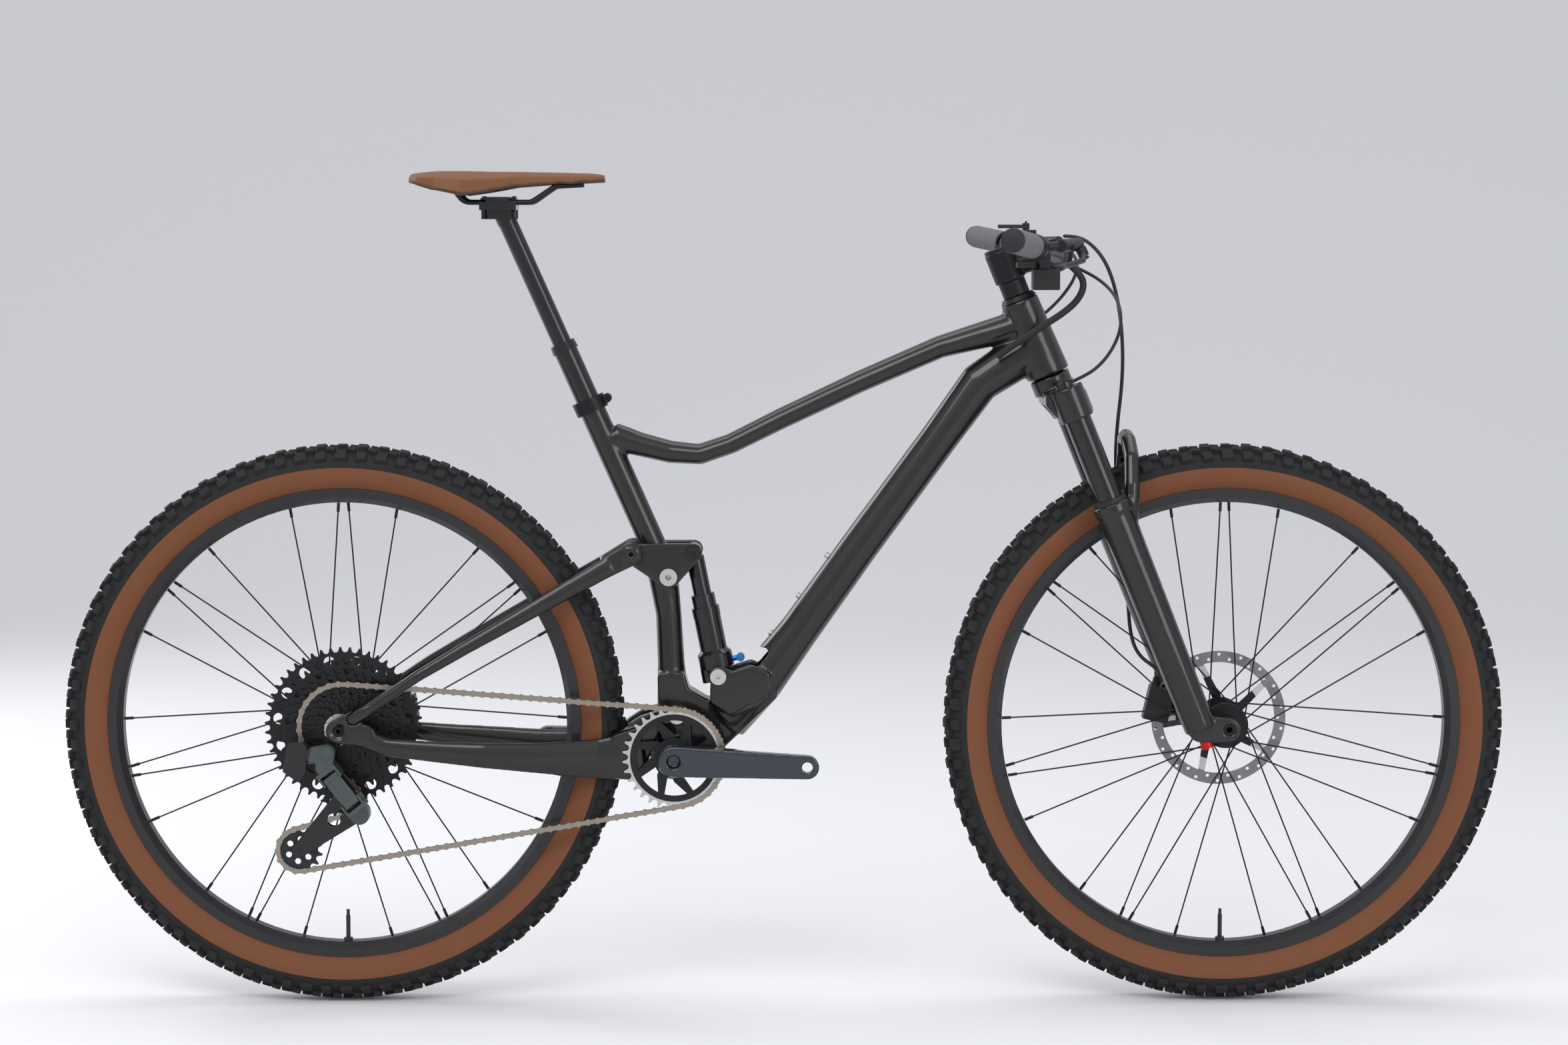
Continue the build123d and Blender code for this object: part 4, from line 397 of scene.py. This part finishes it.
def lift(y):
    """How far the tread's crown is from the axle, this far off its middle."""
    return casing_radius - (1 - cos(y / half)) * half * 0.62


for end, centre in wheels.items():
    casing = revolve(f"{end}_tyre_casing", centre, profile, 288, [tread, sidewall])
    bm = bmesh.new()
    for i in range(knob_rows):
        angle = 2 * pi * i / knob_rows
        wide = 0.0075 if i % 2 else 0.0115
        for side in (-1, 1):
            knob(bm, centre, angle, side * wide * 0.62, casing_radius - 0.0002, (0.0125, wide),
                 0.0046, 0.12 * side)
            knob(bm, centre, angle + pi / knob_rows, side * 0.0165, lift(0.0165), (0.012, 0.0075),
                 0.0044, -0.2 * side)
            knob(bm, centre, angle, side * (0.0242 if i % 2 else 0.0256), lift(0.0256) - 0.0045,
                 (0.0165 if i % 2 else 0.0135, 0.0110), 0.0046, 0.1 * side)
    blocks = bpy.data.meshes.new(f"{end}_tyre_knobs")
    bm.to_mesh(blocks)
    bm.free()
    blocks.materials.append(tread)
    knobs = bpy.data.objects.new(f"{end}_tyre_knobs", blocks)
    bpy.context.collection.objects.link(knobs)
    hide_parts(f"{end}_tyre")
    for piece in (casing, knobs):
        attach(piece, f"{end}_wheel")


# ---------------------------------------------------------------- hoses and cables

def cable(name, route, radius, surface):
    curve = bpy.data.curves.new(name, "CURVE")
    curve.dimensions = "3D"
    curve.resolution_u = 10
    line = curve.splines.new("NURBS")
    line.points.add(len(route) - 1)
    for point, place in zip(line.points, route):
        point.co = (*[value * mm for value in place], 1)
    line.order_u = 3
    line.use_endpoint_u = True
    curve.materials.append(surface)
    drawn = bpy.data.objects.new(f"{name}_curve", curve)
    bpy.context.collection.objects.link(drawn)
    bpy.context.view_layer.update()
    line_mesh = bpy.data.meshes.new_from_object(drawn.evaluated_get(bpy.context.evaluated_depsgraph_get()))
    centreline = [tuple(vertex.co) for vertex in line_mesh.vertices]
    curve.bevel_depth = radius * mm
    curve.bevel_resolution = 5
    curve.use_fill_caps = True
    bpy.context.view_layer.update()
    tube = bpy.data.meshes.new_from_object(drawn.evaluated_get(bpy.context.evaluated_depsgraph_get()))
    bpy.data.objects.remove(drawn)
    tube.shade_smooth()
    made = bpy.data.objects.new(name, tube)
    bpy.context.collection.objects.link(made)
    return made, centreline


# each hose's route, in millimetres
bundle_route = [
    (279, -33, 858), (292, -40, 869), (315, -50, 884), (338, -54, 900), (362, -52, 915), (381, -49, 931),
    (390, -48, 949), (386, -47, 965), (372, -46, 977),
]
dropper_route = [
    (336, 22, 906), (352, 32, 918), (371, 40, 937), (386, 52, 958), (393, 74, 978), (386, 98, 994),
    (370, 120, 1004), (350, 140, 1010), (330, 157, 1013),
]
lockout_route = [
    (384, 54, 975), (406, 44, 965), (426, 22, 950), (438, -4, 932), (441, -30, 908), (435, -48, 884),
    (421, -58, 860), (404, -64, 843), (387, -66, 833), (374.5, -66, 827.4),
]
brake_route = [
    (379, 132, 1014), (396, 112, 1014), (414, 90, 1002), (430, 76, 980), (441, 71, 950), (448, 69, 916),
    (452, 68, 880), (453, 67, 842), (451, 67, 806), (447, 68, 770), (445, 72, 734), (446, 79, 700),
    (450, 86, 664), (455, 97, 624), (460, 99, 585), (464, 99, 548), (466, 94, 515), (467, 82, 486),
    (471, 66, 464), (480, 52, 450), (492, 44, 442), (502, 42, 434), (506.5, 42, 418),
]
for node, route, radius, length, surface, bodies in (
    ("cable_bundle", bundle_route, 4.5, 0.1829, bundle_wrap, ("frame", "steering")),
    ("dropper_cable", dropper_route, 2.2, 0.2218, hose_black, ("frame", "steering")),
    ("lockout_cable", lockout_route, 2.2, 0.2456, hose_black, ("steering", "steering")),
    ("front_brake_hose", brake_route, 2.5, 0.6850, hose_black, ("steering", "fork_lowers")),
):
    piece, centreline = cable(f"{node}_line", route, radius, surface)
    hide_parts(node)
    if bodies[0] == bodies[1]:
        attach(piece, bodies[0])
    else:
        start, stop = [Vector(route[i]) * mm for i in (1, -2)]
        if node == "front_brake_hose":
            start, stop = Vector(route[8]) * mm, Vector(route[14]) * mm
        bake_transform(piece)


# ---------------------------------------------------------------- chain

chain_look = bpy.data.objects.new("chain_links", nodes["chain"].data.copy())
bpy.context.collection.objects.link(chain_look)
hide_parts("chain")
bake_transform(chain_look)


# ---------------------------------------------------------------- saddle

cover = moulded_copy("saddle_cover", 0.0016, 16, leather)
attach(cover, "seatpost")
cover_low, cover_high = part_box("saddle_cover")
edge = {1: [], -1: []}
edge_steps = 30
for i in range(1, edge_steps):
    x = cover_low[0] + (cover_high[0] - cover_low[0]) * i / edge_steps
    near = [v.co for v in cover.data.vertices if abs(v.co.x - x) < 0.003]
    for side, line in edge.items():
        widest = max(near, key=lambda place: place.y * side)
        line.append((x / mm, widest.y / mm - side * 0.2, widest.z / mm))
_, rear_width, rear_z = edge[1][0]
_, front_width, front_z = edge[1][-1]
rear = [(cover_low[0] / mm + 1.5, rear_width * share, rear_z + 1) for share in (0.7, 0.35, 0, -0.35, -0.7)]
front = [(cover_high[0] / mm - 1.0, front_width * share, front_z + 1) for share in (-0.5, 0, 0.5)]
piping, _ = cable("saddle_edge_piping", edge[1][::-1] + rear + edge[-1] + front, 1.5, piping_dark)
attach(piping, "seatpost")


# ---------------------------------------------------------------- grips

bar_bend = Vector((0.345, 0.090, 0.9948))
bar_lean = Vector((-tan(radians(14.2)), 1, tan(radians(3.5))))


def bar_point(y, side):
    place = bar_bend + bar_lean * (y - bar_bend.y)
    return Vector((place.x, place.y * side, place.z))


def turned_along(name, start, stop, profile, steps, surface):
    """A piece turned about the line from start to stop; profile is (share, radius)."""
    heading = (stop - start).normalized()
    first = heading.orthogonal().normalized()
    second = heading.cross(first)
    turns = [2 * pi * i / steps for i in range(steps)]
    vertices = [start.lerp(stop, share) + (first * cos(turn) + second * sin(turn)) * r
                for share, r in profile for turn in turns]
    faces = [(j * steps + i, j * steps + (i + 1) % steps, (j + 1) * steps + (i + 1) % steps,
              (j + 1) * steps + i) for j in range(len(profile) - 1) for i in range(steps)]
    return add_mesh(name, vertices, faces, surface)


grip_inner, grip_outer = 0.2402, 0.3700
grip_radius = 0.0155
ribs = 22
rib_profile = [(0, 0.0112), (0, grip_radius - 0.0010)]
for i in range(ribs):
    start = (i + 0.25) / (ribs + 0.5)
    width = 1 / (ribs + 0.5)
    rib_profile += [(start, grip_radius - 0.0012), (start + width * 0.2, grip_radius),
                    (start + width * 0.55, grip_radius), (start + width * 0.75, grip_radius - 0.0012)]
rib_profile += [(1, grip_radius - 0.0010), (1, 0.0112)]
collar_profile = [(0, 0.0112), (0, 0.0155), (0.1, 0.0163), (0.9, 0.0163), (1, 0.0155), (1, 0.0112)]
cap_profile = [(0, 0.0150), (0.6, 0.0148), (1, 0.0125), (1, 0.0001)]
for side, name in ((-1, "right"), (1, "left")):
    inner, outer = bar_point(grip_inner, side), bar_point(grip_outer, side)
    sleeve = turned_along(f"grip_{name}", inner, outer, rib_profile, 48, grip_grey)
    collar = turned_along(f"grip_collar_{name}", bar_point(grip_inner - 0.008, side),
                          bar_point(grip_inner - 0.0002, side), collar_profile, 40, anodised)
    end_cap = turned_along(f"grip_end_{name}", outer, bar_point(grip_outer + 0.004, side), cap_profile, 40,
                           moulded)
    if side < 0:
        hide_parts("grips")
    for piece in (sleeve, collar, end_cap):
        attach(piece, "steering")

# ---------------------------------------------------------------- floor

floor_paint = new_material("floor_paint", (0.74, 0.74, 0.75), 0.75)
cove_start, cove_radius, cove_steps = 4.0, 5.0, 24
cove = [(-6.0, 0.0)] + [(cove_start + cove_radius * sin(pi / 2 * i / cove_steps),
                         cove_radius * (1 - cos(pi / 2 * i / cove_steps))) for i in range(cove_steps + 1)]
floor = add_mesh("floor", [(x, y, z - 0.0015) for x in (-14, 14) for y, z in cove],
                 [(i, i + 1, i + 1 + len(cove), i + len(cove)) for i in range(len(cove) - 1)], floor_paint)
